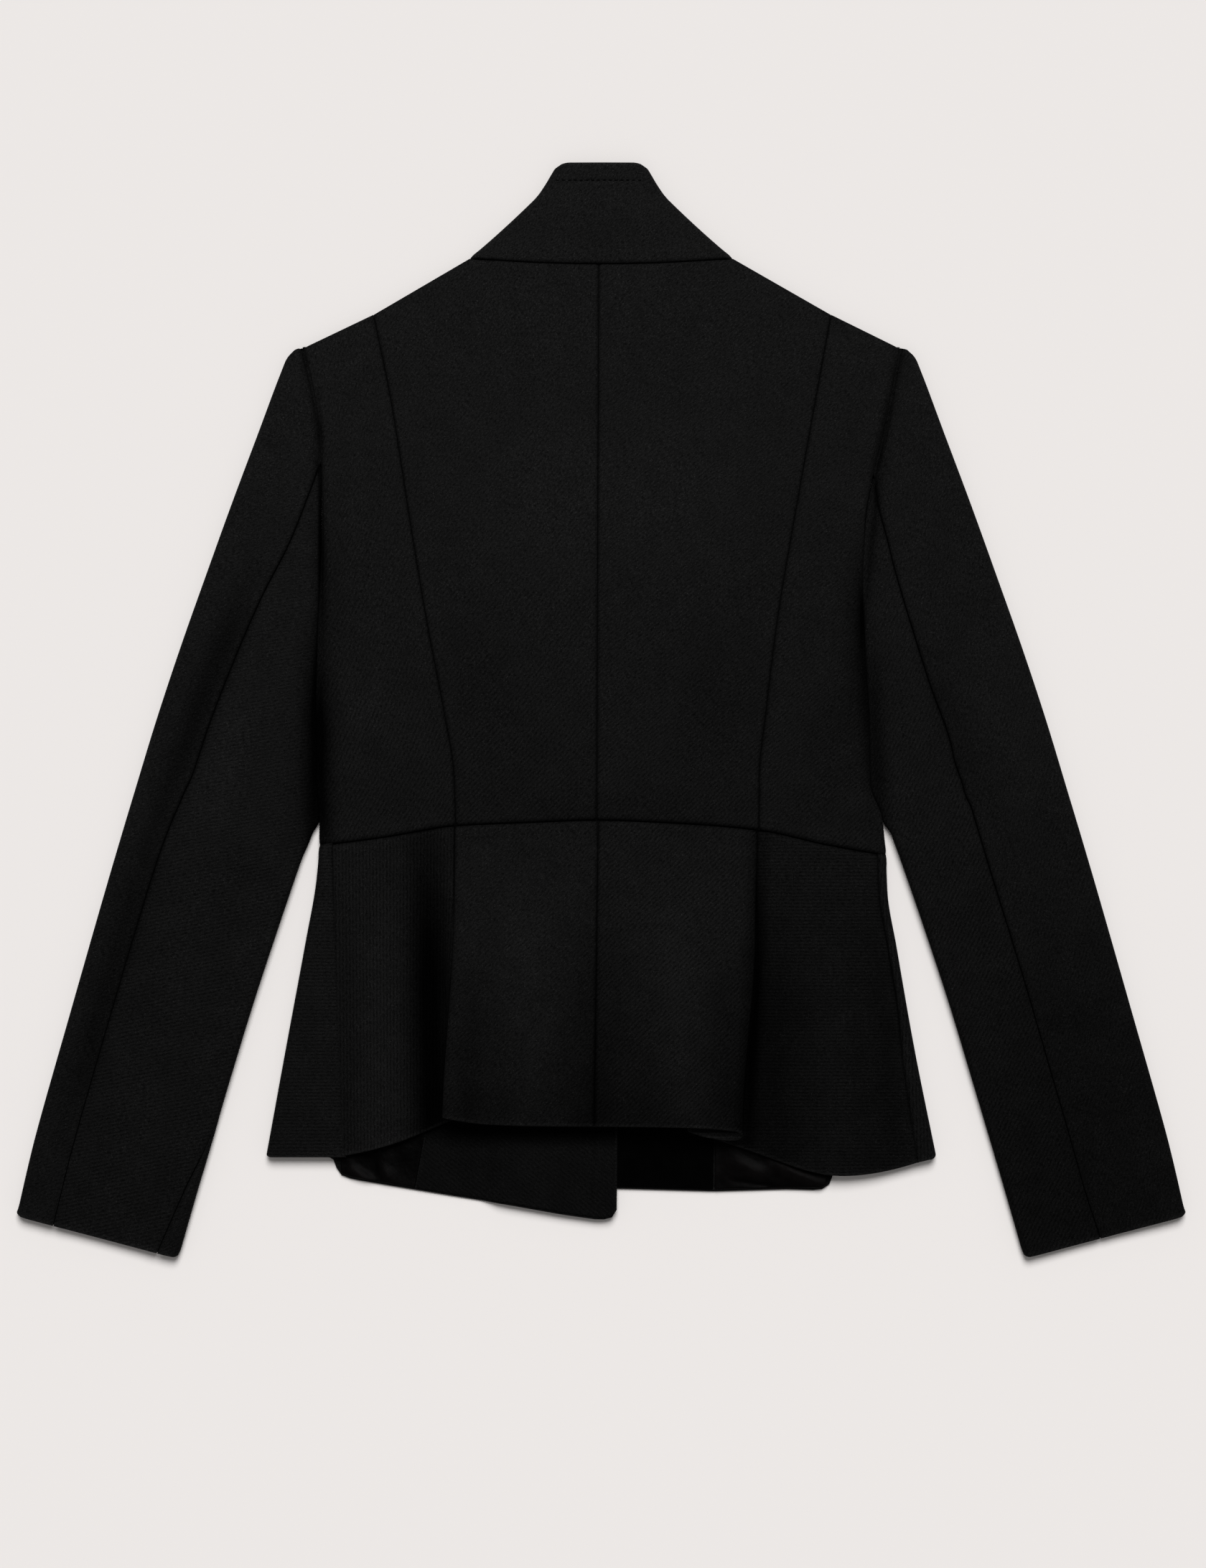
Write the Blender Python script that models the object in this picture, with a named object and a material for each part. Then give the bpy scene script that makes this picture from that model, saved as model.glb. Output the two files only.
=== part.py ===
"""Short wrap coat of black wool twill with a stand collar, two-piece sleeves and a fluted peplum.

The coat lies flat on its front with the back up: floor at z = 0, X across the shoulders, Y towards
the collar, Z up. Every cut piece is a thin wall of its own, worked out from the sizes below.
Tables are in millimetres; the meshes are scaled to metres.
"""

import math
from collections import namedtuple

import bpy
import numpy as np

MM = 0.001

# Cloth
WALL = 2.4
PEPLUM_WALL = 1.8
COLLAR_WALL = 2.6
FACING_WALL = 1.2
SEAM_GAP = 0.3
WAIST_GAP = 0.6
SLEEVE_SEAM_GAP = 0.6
LAY_GAP = 0.3

# How far the layers stand off the floor
BACK_HEIGHT = 8.3
BACK_DOME = 0.3
DOME_Y = 175.0
DOME_REACH = 120.0
EDGE_RISE = 0.3
EDGE_REACH = 26.0
EDGE_RISE_TOP = 70.0
EDGE_RISE_FADE = 80.0
EDGE_RISE_LEAST = 0.35
SHOULDER_EDGE = 7.4
SLEEVE_SAG = 0.6
SHOULDER_REACH = 34.0
SHOULDER_LIFT = 2.2
SHOULDER_COVER = 62.0
SHOULDER_FADE = 26.0
SHOULDER_TIP = 194.0
PEPLUM_EDGE_HEIGHT = 9.0
UNDER_LIMIT = 4.2
COLLAR_BASE_HEIGHT = 8.9
COLLAR_TOP_HEIGHT = 8.7
COLLAR_CROWN = 0.5
SAG_WIDTH = 40.0
SAG_REACH = 50.0

# Neck and front
NECK_HALF = 88.2
NECK_Y = 302.6
BACK_NECK_SAG = 5.0
SHOULDER_X = 200.4
SHOULDER_Y = 243.0
COLLAR_TOP_Y = 366.6
LEFT_FRONT_EDGE = 12.5
RIGHT_FRONT_EDGE = -60.0
OVERLAP_RAMP = 18.0
LAY_CLEAR = 4.0
FACING_LIFT_Y = -150.0
FACING_LIFT_REACH = 50.0
COLLAR_LAP = 22.0
COLLAR_TOP_LAP = -2.0
COLLAR_LAP_SHARE = 0.4
COLLAR_DIP = 16.0
COLLAR_DIP_HALF = 30.0
COLLAR_BREAKS = (0.0, 23.0, 46.0, 64.0)
SIDE_WAIST_Y = -92.0
NECK_LINE_X = 52.0
CENTRE_X = -3.1
CENTRE_LEAN = 1.4
FRONT_OUTER_X = 46.0
FRONT_INNER_X = 26.0
EDGE_SEAM_SHARE = 0.015

# Inside of the fronts that shows below the back hem
FACING_START = 0.6
HEM_TURN = 1.6
HEM_LENGTH = 240.0
SPAN_GAP = 0.012
FIRST_HEM_COLUMN = 4.0

# Front neckline, from the centre out, and front waist seam ends
NeckPoint = namedtuple("NeckPoint", "x y")
FRONT_NECK = [NeckPoint(0.0, 243.0), NeckPoint(46.0, 261.0), NeckPoint(83.45, 302.2), NeckPoint(88.2, 302.6)]
FrontWaist = namedtuple("FrontWaist", "side_x side_y front_x front_y")
FRONT_WAIST = {
    "left": FrontWaist(-188.6, -90.4, 12.5, -76.0),
    "right": FrontWaist(190.7, -97.0, -60.0, -76.0),
}

# Side edges and armholes of the body, by height on the back
BodyEdge = namedtuple("BodyEdge", "y left right roll")
BODY_EDGE = [
    BodyEdge(-97.0, -188.6, 190.7, 4.1),
    BodyEdge(-72.0, -188.8, 188.2, 4.1),
    BodyEdge(-50.0, -190.2, 180.6, 4.1),
    BodyEdge(-5.0, -191.2, 179.4, 4.1),
    BodyEdge(53.0, -190.0, 176.6, 4.0),
    BodyEdge(90.0, -188.3, 175.2, 3.8),
    BodyEdge(125.0, -187.4, 176.6, 3.6),
    BodyEdge(155.0, -187.4, 181.6, 3.4),
    BodyEdge(190.0, -189.2, 190.0, 3.3),
    BodyEdge(219.0, -193.8, 195.6, 3.3),
    BodyEdge(243.0, -200.4, 200.3, 3.2),
]

# Princess seams of the back
Princess = namedtuple("Princess", "y left right")
PRINCESS = [
    Princess(-80.0, -97.2, 105.4),
    Princess(-40.0, -98.8, 105.9),
    Princess(-5.0, -104.4, 109.7),
    Princess(60.0, -116.8, 117.7),
    Princess(130.0, -128.4, 129.5),
    Princess(206.0, -140.4, 143.0),
    Princess(265.0, -152.4, 153.8),
]

# Waist seam across the back
WaistSeam = namedtuple("WaistSeam", "x y")
WAIST_SEAM = [
    WaistSeam(-189.0, -90.4),
    WaistSeam(-147.0, -85.0),
    WaistSeam(-97.2, -77.0),
    WaistSeam(-51.0, -75.0),
    WaistSeam(-3.0, -73.4),
    WaistSeam(54.0, -75.6),
    WaistSeam(105.4, -80.0),
    WaistSeam(150.0, -89.6),
    WaistSeam(191.0, -97.0),
]

# Rows of the sleeve from cuff to shoulder tip: silhouette point, height of the inner end, loft, roll
SleeveRow = namedtuple("SleeveRow", "outer_x outer_y inner_y height roll")
SLEEVE_ROWS = [
    SleeveRow(391.4, -338.0, -366.6, 8.3, 4.15),
    SleeveRow(380.9, -292.8, -320.5, 8.5, 4.25),
    SleeveRow(354.0, -196.8, -226.0, 8.6, 4.3),
    SleeveRow(326.4, -100.8, -132.5, 8.6, 4.3),
    SleeveRow(312.0, -52.8, -90.0, 8.6, 4.3),
    SleeveRow(297.4, -4.8, -48.0, 8.6, 4.3),
    SleeveRow(281.5, 43.2, 2.0, 8.6, 4.2),
    SleeveRow(264.5, 91.2, 54.0, 8.6, 4.0),
    SleeveRow(247.2, 139.2, 104.0, 8.6, 4.0),
    SleeveRow(229.2, 187.2, 164.0, 8.6, 4.1),
    SleeveRow(216.7, 220.8, 208.0, 8.5, 4.1),
    SleeveRow(211.6, 233.4, 230.5, 8.2, 3.8),
    SleeveRow(208.8, 238.4, 242.6, 7.6, 3.3),
]

# Inner sleeve edge below the underarm
SleeveInner = namedtuple("SleeveInner", "y left right")
SLEEVE_INNER = [
    SleeveInner(-367.0, -283.2, 283.2),
    SleeveInner(-340.8, -275.8, 275.8),
    SleeveInner(-292.8, -261.9, 261.8),
    SleeveInner(-244.8, -247.7, 247.5),
    SleeveInner(-196.8, -233.0, 233.0),
    SleeveInner(-148.8, -217.2, 217.2),
    SleeveInner(-100.8, -200.8, 200.6),
    SleeveInner(-78.0, -192.4, 192.4),
    SleeveInner(-60.0, -191.6, 186.6),
    SleeveInner(-30.0, -193.2, 181.2),
    SleeveInner(5.0, -192.2, 180.2),
]

# Where the two sleeve seams run: share of the sleeve width from the outer edge, by row number
SleeveSeam = namedtuple("SleeveSeam", "row left_hind right_hind left_fore right_fore")
SLEEVE_SEAM = [
    SleeveSeam(0.0, 0.23, 0.53, 0.87, 1.0),
    SleeveSeam(1.0, 0.23, 0.55, 0.93, 1.0),
    SleeveSeam(1.6, 0.23, 0.55, 1.0, 1.0),
    SleeveSeam(3.0, 0.235, 0.547, 1.0, 1.0),
    SleeveSeam(5.0, 0.30, 0.545, 1.0, 1.0),
    SleeveSeam(6.0, 0.37, 0.58, 1.0, 1.0),
    SleeveSeam(7.0, 0.48, 0.68, 1.0, 1.0),
    SleeveSeam(8.0, 0.67, 0.86, 1.0, 1.0),
    SleeveSeam(8.4, 0.77, 0.97, 1.0, 1.0),
    SleeveSeam(9.0, 0.97, 0.97, 1.0, 1.0),
]
UNDER_SLEEVE_END = {"left": 8.92, "right": 8.36}
ARMHOLE_Y = -5.0
ARMHOLE_REACH = 40.0

# Collar outline, half widths by height
CollarRow = namedtuple("CollarRow", "y half")
COLLAR_ROWS = [
    CollarRow(302.8, 87.9),
    CollarRow(321.6, 67.7),
    CollarRow(340.8, 48.4),
    CollarRow(346.4, 43.2),
    CollarRow(355.2, 37.4),
    CollarRow(362.0, 33.6),
    CollarRow(366.6, 31.0),
]

# Lines that run down the peplum from waist to hem; a flute is a run of lines that doubles back
PeplumLine = namedtuple("PeplumLine", "name waist_x open_x open_z hem_x hem_y hem_z")
PEPLUM_LINES = [
    PeplumLine("left seam", -180.2, -177.0, 9.0, -177.0, -298.6, 9.0),
    PeplumLine("left hump", -151.0, -152.0, 11.0, -152.0, -294.0, 11.4),
    PeplumLine("left slope", -126.0, -128.0, 10.0, -122.0, -284.0, 10.4),
    PeplumLine("left valley", -112.0, -115.0, 9.8, -102.0, -274.5, 9.4),
    PeplumLine("left turn", -108.0, -111.0, 11.6, -91.0, -270.5, 12.2),
    PeplumLine("left return", -104.4, -107.5, 14.0, -97.6, -270.5, 15.4),
    PeplumLine("left under", -101.2, -104.4, 16.6, -104.7, -270.6, 16.7),
    PeplumLine("left fold", -98.0, -101.3, 19.4, -107.0, -271.0, 20.2),
    PeplumLine("left over", -94.8, -98.0, 22.2, -104.7, -271.6, 23.7),
    PeplumLine("left crest", -90.6, -93.6, 24.4, -97.6, -272.6, 25.0),
    PeplumLine("left top", -74.0, -78.0, 24.8, -78.0, -276.4, 24.8),
    PeplumLine("centre", -3.1, -3.6, 23.6, -3.6, -277.2, 23.6),
    PeplumLine("right top", 74.0, 64.0, 24.8, 64.0, -277.4, 24.8),
    PeplumLine("right crest", 92.0, 82.0, 25.2, 85.6, -279.6, 25.6),
    PeplumLine("right over", 97.4, 87.0, 23.6, 93.7, -281.0, 24.7),
    PeplumLine("right fold", 101.0, 91.0, 21.2, 96.0, -282.0, 21.2),
    PeplumLine("right under", 104.2, 95.0, 18.9, 93.7, -283.4, 17.7),
    PeplumLine("right return", 106.4, 99.0, 16.7, 84.0, -284.6, 16.4),
    PeplumLine("right inner", 108.6, 103.0, 14.5, 66.0, -281.6, 15.8),
    PeplumLine("right turn", 110.8, 107.0, 12.3, 54.5, -279.4, 12.6),
    PeplumLine("right valley", 113.4, 111.0, 10.4, 66.0, -282.4, 9.4),
    PeplumLine("right out", 118.0, 117.0, 9.2, 88.0, -290.8, 9.0),
    PeplumLine("right slope", 129.0, 130.0, 9.8, 114.0, -299.6, 9.8),
    PeplumLine("right hump", 151.0, 156.0, 11.4, 152.0, -313.6, 11.8),
    PeplumLine("right flat", 172.0, 192.0, 10.0, 192.0, -308.4, 10.2),
    PeplumLine("right seam", 182.2, 215.6, 9.0, 215.6, -302.0, 9.0),
]
FLUTE_RISE = 0.5
FLUTE_FOLD = 0.33
RIGHT_SEAM_INSET = 8.5
EDGE_WAIST_X = 189.0
EDGE_UNDER_WAIST_X = 182.6
EDGE_UNDER_HEM_X = 218.0
LINE_STEPS = 2
SIDE_LEFT_LAST = "left fold"
SIDE_RIGHT_FIRST = "right fold"

# Half seam gaps of the peplum, counted in lines
LEFT_SEAM_LINES = 0.005
FOLD_SEAM_LINES = 0.094
CENTRE_SEAM_LINES = 0.0022
RIGHT_SEAM_LINES = 0.0075

# Outline of the peplum at its two side edges, by share of the way from waist to hem
PeplumEdge = namedtuple("PeplumEdge", "share left right")
PEPLUM_EDGE = [
    PeplumEdge(0.0, -188.6, 190.7),
    PeplumEdge(0.12, -191.0, 191.6),
    PeplumEdge(0.30, -197.6, 197.6),
    PeplumEdge(0.65, -211.0, 210.0),
    PeplumEdge(1.0, -224.2, 224.2),
]
EDGE_HEM_Y = -297.6

# Hem of the under layers, from the side edge to the front edge
UnderHem = namedtuple("UnderHem", "waist_x hem_x hem_y")
UNDER_HEM_LEFT = [
    UnderHem(-176.0, -195.0, -297.4),
    UnderHem(-166.0, -180.4, -298.4),
    UnderHem(-162.0, -177.6, -306.0),
    UnderHem(-158.0, -174.2, -311.0),
    UnderHem(-152.0, -167.0, -313.8),
    UnderHem(-126.0, -139.6, -318.4),
    UnderHem(-96.0, -95.6, -325.6),
    UnderHem(-62.0, -62.0, -330.8),
    UnderHem(-26.0, -26.0, -337.2),
    UnderHem(0.0, -2.0, -340.6),
    UnderHem(8.0, 6.4, -340.2),
    UnderHem(12.5, 10.4, -334.0),
]
UNDER_HEM_RIGHT = [
    UnderHem(176.0, 190.0, -299.0),
    UnderHem(152.0, 157.6, -303.0),
    UnderHem(148.0, 155.0, -312.0),
    UnderHem(144.0, 152.4, -318.4),
    UnderHem(138.0, 146.6, -321.2),
    UnderHem(122.0, 124.0, -320.6),
    UnderHem(78.0, 75.6, -322.0),
    UnderHem(12.0, 12.0, -320.2),
    UnderHem(-60.0, -60.0, -317.6),
]

# Columns of the under layers covered by the facings and linings
LINING_LEFT_SPAN = (2.8, 5.0)
FACING_LEFT_SPAN = (5.0, 10.6)
LINING_RIGHT_SPAN = (3.2, 6.0)
FACING_RIGHT_SPAN = (6.0, 7.93)

# Mesh steps
ARC_STEPS = 3
BODY_LOW_ROWS = [-72.0, -50.0, -22.0]
BODY_ROWS_FROM = 10.0
UNDER_TIP_CLEAR = 0.3
UNDER_TIP_STEP = 0.12
UNDER_TIP_NEXT = 0.5
UNDER_EXTRA_COLUMNS = {"left": [8.5, 9.5, 9.75, 10.5], "right": [9.5]}
SLEEVE_MESH_ROWS = [0.0, 0.5, 1.0, 1.6, 2.3, 3.0, 3.7, 4.3, 4.8, 5.3, 5.8, 6.4, 7.0, 7.6, 8.0, 8.5, 8.9]
SLEEVE_MESH_ROWS += [9.6, 10.2, 10.8, 11.3, 11.75]
PEPLUM_ROWS = 8
COLLAR_STEPS = 9
FACING_ROWS = 4

COLOURS = {
    "wool": (0.0080, 0.0080, 0.0084, 1.0),
    "facing": (0.0070, 0.0070, 0.0074, 1.0),
    "satin": (0.0120, 0.0114, 0.0118, 1.0),
}


def clear_scene():
    """Remove whatever the scene holds."""
    for item in list(bpy.data.objects):
        bpy.data.objects.remove(item, do_unlink=True)


def column(table, name):
    """Return one named column of a table as an array."""
    return np.array([getattr(row, name) for row in table], dtype=float)


def smooth_line(at, knots, values):
    """Interpolate a curve through the knots, with limited slopes so that it never overshoots."""
    knots = np.asarray(knots, dtype=float)
    values = np.asarray(values, dtype=float)
    at = np.asarray(at, dtype=float)
    step = np.diff(knots)
    slope = np.diff(values) / step
    tangent = np.empty_like(values)
    tangent[0] = slope[0]
    tangent[-1] = slope[-1]
    same = slope[:-1] * slope[1:] > 0.0
    mean = 2.0 * slope[:-1] * slope[1:] / np.where(same, slope[:-1] + slope[1:], 1.0)
    tangent[1:-1] = np.where(same, mean, 0.0)
    index = np.clip(np.searchsorted(knots, at) - 1, 0, len(knots) - 2)
    share = (at - knots[index]) / step[index]
    inside = np.clip(share, 0.0, 1.0)
    square = inside * inside
    cube = square * inside
    curve = (2.0 * cube - 3.0 * square + 1.0) * values[index]
    curve = curve + (cube - 2.0 * square + inside) * step[index] * tangent[index]
    curve = curve + (3.0 * square - 2.0 * cube) * values[index + 1]
    curve = curve + (cube - square) * step[index] * tangent[index + 1]
    end = np.where(share > 1.0, tangent[index + 1], tangent[index])
    return curve + (share - inside) * step[index] * end


def soft_curve(points, at):
    """Follow a soft curve along the rows of points, rounding its turns; at counts rows."""
    last = points.shape[0] - 1
    index = np.clip(np.floor(at).astype(int), 0, last - 1)
    share = (at - index)[..., None]

    def row(offset):
        place = index + offset
        inner = np.take_along_axis(points, np.clip(place, 0, last)[None, ..., None], axis=0)[0]
        low = 2.0 * points[0] - points[1]
        high = 2.0 * points[last] - points[last - 1]
        inner = np.where((place < 0)[..., None], low, inner)
        return np.where((place > last)[..., None], high, inner)

    before = row(-1)
    start = row(0)
    stop = row(1)
    after = row(2)
    curve = (1.0 - share) ** 3 * before + (3.0 * share**3 - 6.0 * share**2 + 4.0) * start
    curve = curve + (3.0 * share - 3.0 * share**3 + 3.0 * share**2 + 1.0) * stop + share**3 * after
    return curve / 6.0


def ease(value):
    """Blend softly from 0 to 1."""
    value = np.clip(value, 0.0, 1.0)
    return value * value * (3.0 - 2.0 * value)


def make_material(name, colour):
    """Make one plain cloth finish."""
    material = bpy.data.materials.new(name)
    material.use_nodes = True
    shader = material.node_tree.nodes["Principled BSDF"]
    shader.inputs["Base Color"].default_value = colour
    shader.inputs["Roughness"].default_value = 0.9
    return material


def normals_of(surface, across, along, side):
    """Find the outward directions of a surface by small central differences."""
    step = 1.0e-4
    over = surface(across + step, along) - surface(across - step, along)
    up = surface(across, along + step) - surface(across, along - step)
    normal = np.cross(over, up) * side
    return normal / np.linalg.norm(normal, axis=-1, keepdims=True)


def lifted(surface, distance, side):
    """Return the same surface moved out along its normals."""

    def moved(across, along):
        return surface(across, along) + distance * normals_of(surface, across, along, side)

    return moved


def make_wall(name, finish, surface, columns, rows, thickness, side, square=True):
    """Build one closed wall from a surface, with its thickness on the inner side.

    Square ends have their first and last rows cut square to Y, so that pieces meet without crossing.
    """
    across, along = np.meshgrid(columns, rows, indexing="ij")
    outer = surface(across, along)
    inward = thickness * normals_of(surface, across, along, side)
    for end in (0, -1) if square else ():
        level = inward[:, end] * np.array([1.0, 0.0, 1.0])
        inward[:, end] = level * thickness**2 / np.sum(level**2, axis=-1, keepdims=True)
    inner = outer - inward
    count_a, count_b = across.shape
    total = count_a * count_b
    points = np.concatenate([outer.reshape(-1, 3), inner.reshape(-1, 3)]) * MM
    faces = []
    for a in range(count_a - 1):
        for b in range(count_b - 1):
            corner = a * count_b + b
            low = [corner, corner + count_b, corner + count_b + 1]
            high = [corner, corner + count_b + 1, corner + 1]
            for face in (low, high):
                faces.append(face)
                faces.append([total + index for index in reversed(face)])
    rim = [a * count_b for a in range(count_a)]
    rim += [(count_a - 1) * count_b + b for b in range(1, count_b)]
    rim += [a * count_b + count_b - 1 for a in range(count_a - 2, -1, -1)]
    rim += [b for b in range(count_b - 2, 0, -1)]
    for start, stop in zip(rim, rim[1:] + rim[:1]):
        if start < stop:
            faces.append([stop, start, total + stop])
            faces.append([start, total + start, total + stop])
        else:
            faces.append([stop, start, total + start])
            faces.append([stop, total + start, total + stop])
    if side < 0:
        faces = [list(reversed(face)) for face in faces]
    mesh = bpy.data.meshes.new(name)
    mesh.from_pydata(points.tolist(), [], faces)
    mesh.update()
    mesh.materials.append(make_material(name + "_cloth", COLOURS[finish]))
    item = bpy.data.objects.new(name, mesh)
    bpy.context.scene.collection.objects.link(item)
    return item


def steps(start, stop, count):
    """Return evenly spaced places from start to stop, both included."""
    return np.linspace(start, stop, count + 1)


def join_steps(*runs):
    """Put runs of places one after another without repeating their ends."""
    places = list(runs[0])
    for run in runs[1:]:
        places += list(run)[1:]
    return np.array(places)


def waist_y(x):
    """Height of the waist seam at x."""
    return smooth_line(x, column(WAIST_SEAM, "x"), column(WAIST_SEAM, "y"))


def edge_x(y, hand):
    """Side edge of the body at a height."""
    return smooth_line(y, column(BODY_EDGE, "y"), column(BODY_EDGE, hand))


def edge_roll(y):
    """Radius with which the body edge turns down at a height."""
    return smooth_line(y, column(BODY_EDGE, "y"), column(BODY_EDGE, "roll"))


def back_neck_y(x):
    """Collar seam across the back neck."""
    return NECK_Y - BACK_NECK_SAG * (1.0 - (x / NECK_HALF) ** 2)


def front_neck_y(x):
    """Front neckline, lower than the back one."""
    return np.interp(np.abs(x), column(FRONT_NECK, "x"), column(FRONT_NECK, "y"))


def front_waist_y(x, hand):
    """Waist seam under the coat, straight from the side edge to the front edge."""
    ends = FRONT_WAIST[hand]
    return ends.side_y + (x - ends.side_x) * (ends.front_y - ends.side_y) / (ends.front_x - ends.side_x)


def shoulder_nearness(x, y):
    """1 on the shoulder seam, 0 away from it or under the collar."""
    slope = (NECK_Y - SHOULDER_Y) / (SHOULDER_X - NECK_HALF)
    line = NECK_Y - slope * (np.abs(x) - NECK_HALF)
    distance = (line - y) / math.hypot(1.0, slope)
    away = np.sin(0.5 * math.pi * np.clip(distance / SHOULDER_REACH, 0.0, 1.0))
    return ease((np.abs(x) - SHOULDER_COVER) / SHOULDER_FADE) * (1.0 - away)


def back_height(x, y):
    """Height of the outside of the back over the floor."""
    dome = BACK_DOME * np.exp(-(((y - DOME_Y) / DOME_REACH) ** 2))
    inset = np.where(x < 0.0, x - edge_x(y, "left"), edge_x(y, "right") - x)
    below = ease((EDGE_RISE_TOP - y) / EDGE_RISE_FADE)
    share = EDGE_RISE_LEAST + (1.0 - EDGE_RISE_LEAST) * below
    rise = EDGE_RISE * np.exp(-((inset / EDGE_REACH) ** 2)) * share
    full = BACK_HEIGHT + dome + rise
    return full - shoulder_nearness(x, y) * (full - SHOULDER_EDGE)


def body_line(name, along):
    """Follow one line of the body from the waist seam (0) to the shoulder or neck (1)."""
    hand = "left" if name.startswith("left") else "right"
    sign = -1.0 if hand == "left" else 1.0
    half = 0.5 * SEAM_GAP
    kind = name.split()[-1]
    if kind == "edge":
        low = float(waist_y(edge_x(SIDE_WAIST_Y, hand))) + half
        y = low + along * (SHOULDER_Y - low)
        return edge_x(y, hand), y
    if kind == "princess":
        low = float(waist_y(PRINCESS[0].left if hand == "left" else PRINCESS[0].right)) + half
        y = low + along * (PRINCESS[-1].y - low)
        return smooth_line(y, column(PRINCESS, "y"), column(PRINCESS, hand)), y
    if kind == "neck":
        low_x = sign * NECK_LINE_X
        low = float(waist_y(low_x)) + half
        y = low + along * (NECK_Y - half - low)
        return low_x + along * (sign * NECK_HALF - low_x), y
    low = float(waist_y(CENTRE_X)) + half
    y = low + along * (NECK_Y - BACK_NECK_SAG - half - low)
    return CENTRE_X + CENTRE_LEAN * along, y


def ruled(lines, across, along):
    """Run straight across between neighbouring lines; across counts lines."""
    index = np.clip(np.floor(across).astype(int), 0, len(lines) - 2)
    share = across - index
    x = np.zeros_like(along)
    y = np.zeros_like(along)
    for place in range(len(lines) - 1):
        here = index == place
        start_x, start_y = lines[place](along)
        stop_x, stop_y = lines[place + 1](along)
        x = np.where(here, start_x + share * (stop_x - start_x), x)
        y = np.where(here, start_y + share * (stop_y - start_y), y)
    return x, y


def fitted(surface, foot, head=None):
    """Return a surface whose first and last rows are pulled on to given seam lines."""

    def pulled(across, along):
        point = surface(across, along)
        base = surface(across, np.zeros_like(along))
        move = (1.0 - along) * (foot(base) - base[..., 1])
        if head is not None:
            tip = surface(across, np.ones_like(along))
            move = move + along * (head(tip) - tip[..., 1])
        point[..., 1] = point[..., 1] + move
        return point

    return pulled


def waist_of(point, hand):
    """Waist seam at a point: curved over the back, straight under the coat."""
    under = point[..., 2] < UNDER_LIMIT
    return np.where(under, front_waist_y(point[..., 0], hand), waist_y(point[..., 0]))


def above_waist(hand):
    """Return the body side of the waist seam."""
    return lambda point: waist_of(point, hand) + 0.5 * WAIST_GAP


def below_waist(hand):
    """Return the peplum side of the waist seam."""
    return lambda point: waist_of(point, hand) - 0.5 * WAIST_GAP


def back_neck_end(point):
    """Last row of the back: the collar seam between the neck points, else unchanged."""
    x = point[..., 0]
    return np.where(np.abs(x) < NECK_HALF, back_neck_y(x) - 0.5 * SEAM_GAP, point[..., 1])


def front_neck_end(point):
    """Last row of a front: the neckline between the neck points, else unchanged."""
    x = point[..., 0]
    return np.where(np.abs(x) < NECK_HALF, front_neck_y(x) - 0.5 * SEAM_GAP, point[..., 1])


def shifted(name, offset):
    """Return a body line moved sideways by half a seam gap."""

    def line(along):
        x, y = body_line(name, along)
        return x + offset, y

    return line


def sleeve_rows(hand):
    """Row numbers of the sleeve mesh: those of the under sleeve, then those above its tip."""
    end = UNDER_SLEEVE_END[hand]
    lower = np.array([row for row in SLEEVE_MESH_ROWS if row < end - UNDER_TIP_CLEAR] + [end])
    upper = [end + UNDER_TIP_STEP] + [row for row in SLEEVE_MESH_ROWS if row > end + UNDER_TIP_NEXT]
    return lower, np.array(upper)


def body_rows(hand):
    """Rows of the body panels; at the armhole they meet the rows of the sleeve."""
    low = float(waist_y(edge_x(SIDE_WAIST_Y, hand))) + 0.5 * SEAM_GAP
    heights = sleeve_row(np.concatenate(sleeve_rows(hand)), "inner_y")
    heights = [low] + BODY_LOW_ROWS + [float(y) for y in heights if y > BODY_ROWS_FROM]
    rows = (np.array(heights) - low) / (SHOULDER_Y - low)
    rows[-1] = 1.0
    return rows


def back_panel(hand):
    """Centre back panel between the princess seam and the centre seam."""
    half = 0.5 * SEAM_GAP
    if hand == "left":
        lines = [shifted("left princess", half), shifted("left neck", 0.0), shifted("centre", -half)]
    else:
        lines = [shifted("centre", half), shifted("right neck", 0.0), shifted("right princess", -half)]

    def surface(across, along):
        x, y = ruled(lines, across, along)
        return np.stack([x, y, back_height(x, y)], axis=-1)

    columns = join_steps(steps(0.0, 1.0, 3), steps(1.0, 2.0, 4))
    if hand == "right":
        columns = 2.0 - columns[::-1]
    panel = fitted(surface, above_waist(hand), back_neck_end)
    make_wall("back_" + hand, "wool", panel, columns, body_rows(hand), WALL, 1)


def edge_flat(hand, along):
    """Inner end of the turned edge of the body."""
    x, y = body_line(hand + " edge", along)
    inward = 1.0 if hand == "left" else -1.0
    return x + inward * edge_roll(y), y


def side_back_panel(hand):
    """Side back panel, from the princess seam over the turned side edge to mid height."""
    half = 0.5 * SEAM_GAP
    outward = -1.0 if hand == "left" else 1.0
    princess = shifted(hand + " princess", outward * half)

    def flat(along):
        return edge_flat(hand, along)

    def surface(across, along):
        x, y = ruled([princess, flat], np.minimum(across, 1.0), along)
        flat_x, flat_y = flat(along)
        radius = edge_roll(flat_y)
        angle = np.maximum(across - 1.0, 0.0) * 0.5 * math.pi
        x = x + outward * radius * np.sin(angle)
        top = back_height(np.where(across > 1.0, flat_x, x), y)
        return np.stack([x, y, top - radius * (1.0 - np.cos(angle))], axis=-1)

    columns = join_steps(steps(0.0, 1.0, 4), steps(1.0, 2.0 - EDGE_SEAM_SHARE, ARC_STEPS))
    side = -1 if hand == "left" else 1
    panel = fitted(surface, above_waist(hand))
    make_wall("side_back_" + hand, "wool", panel, columns, body_rows(hand), WALL, side)


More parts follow.
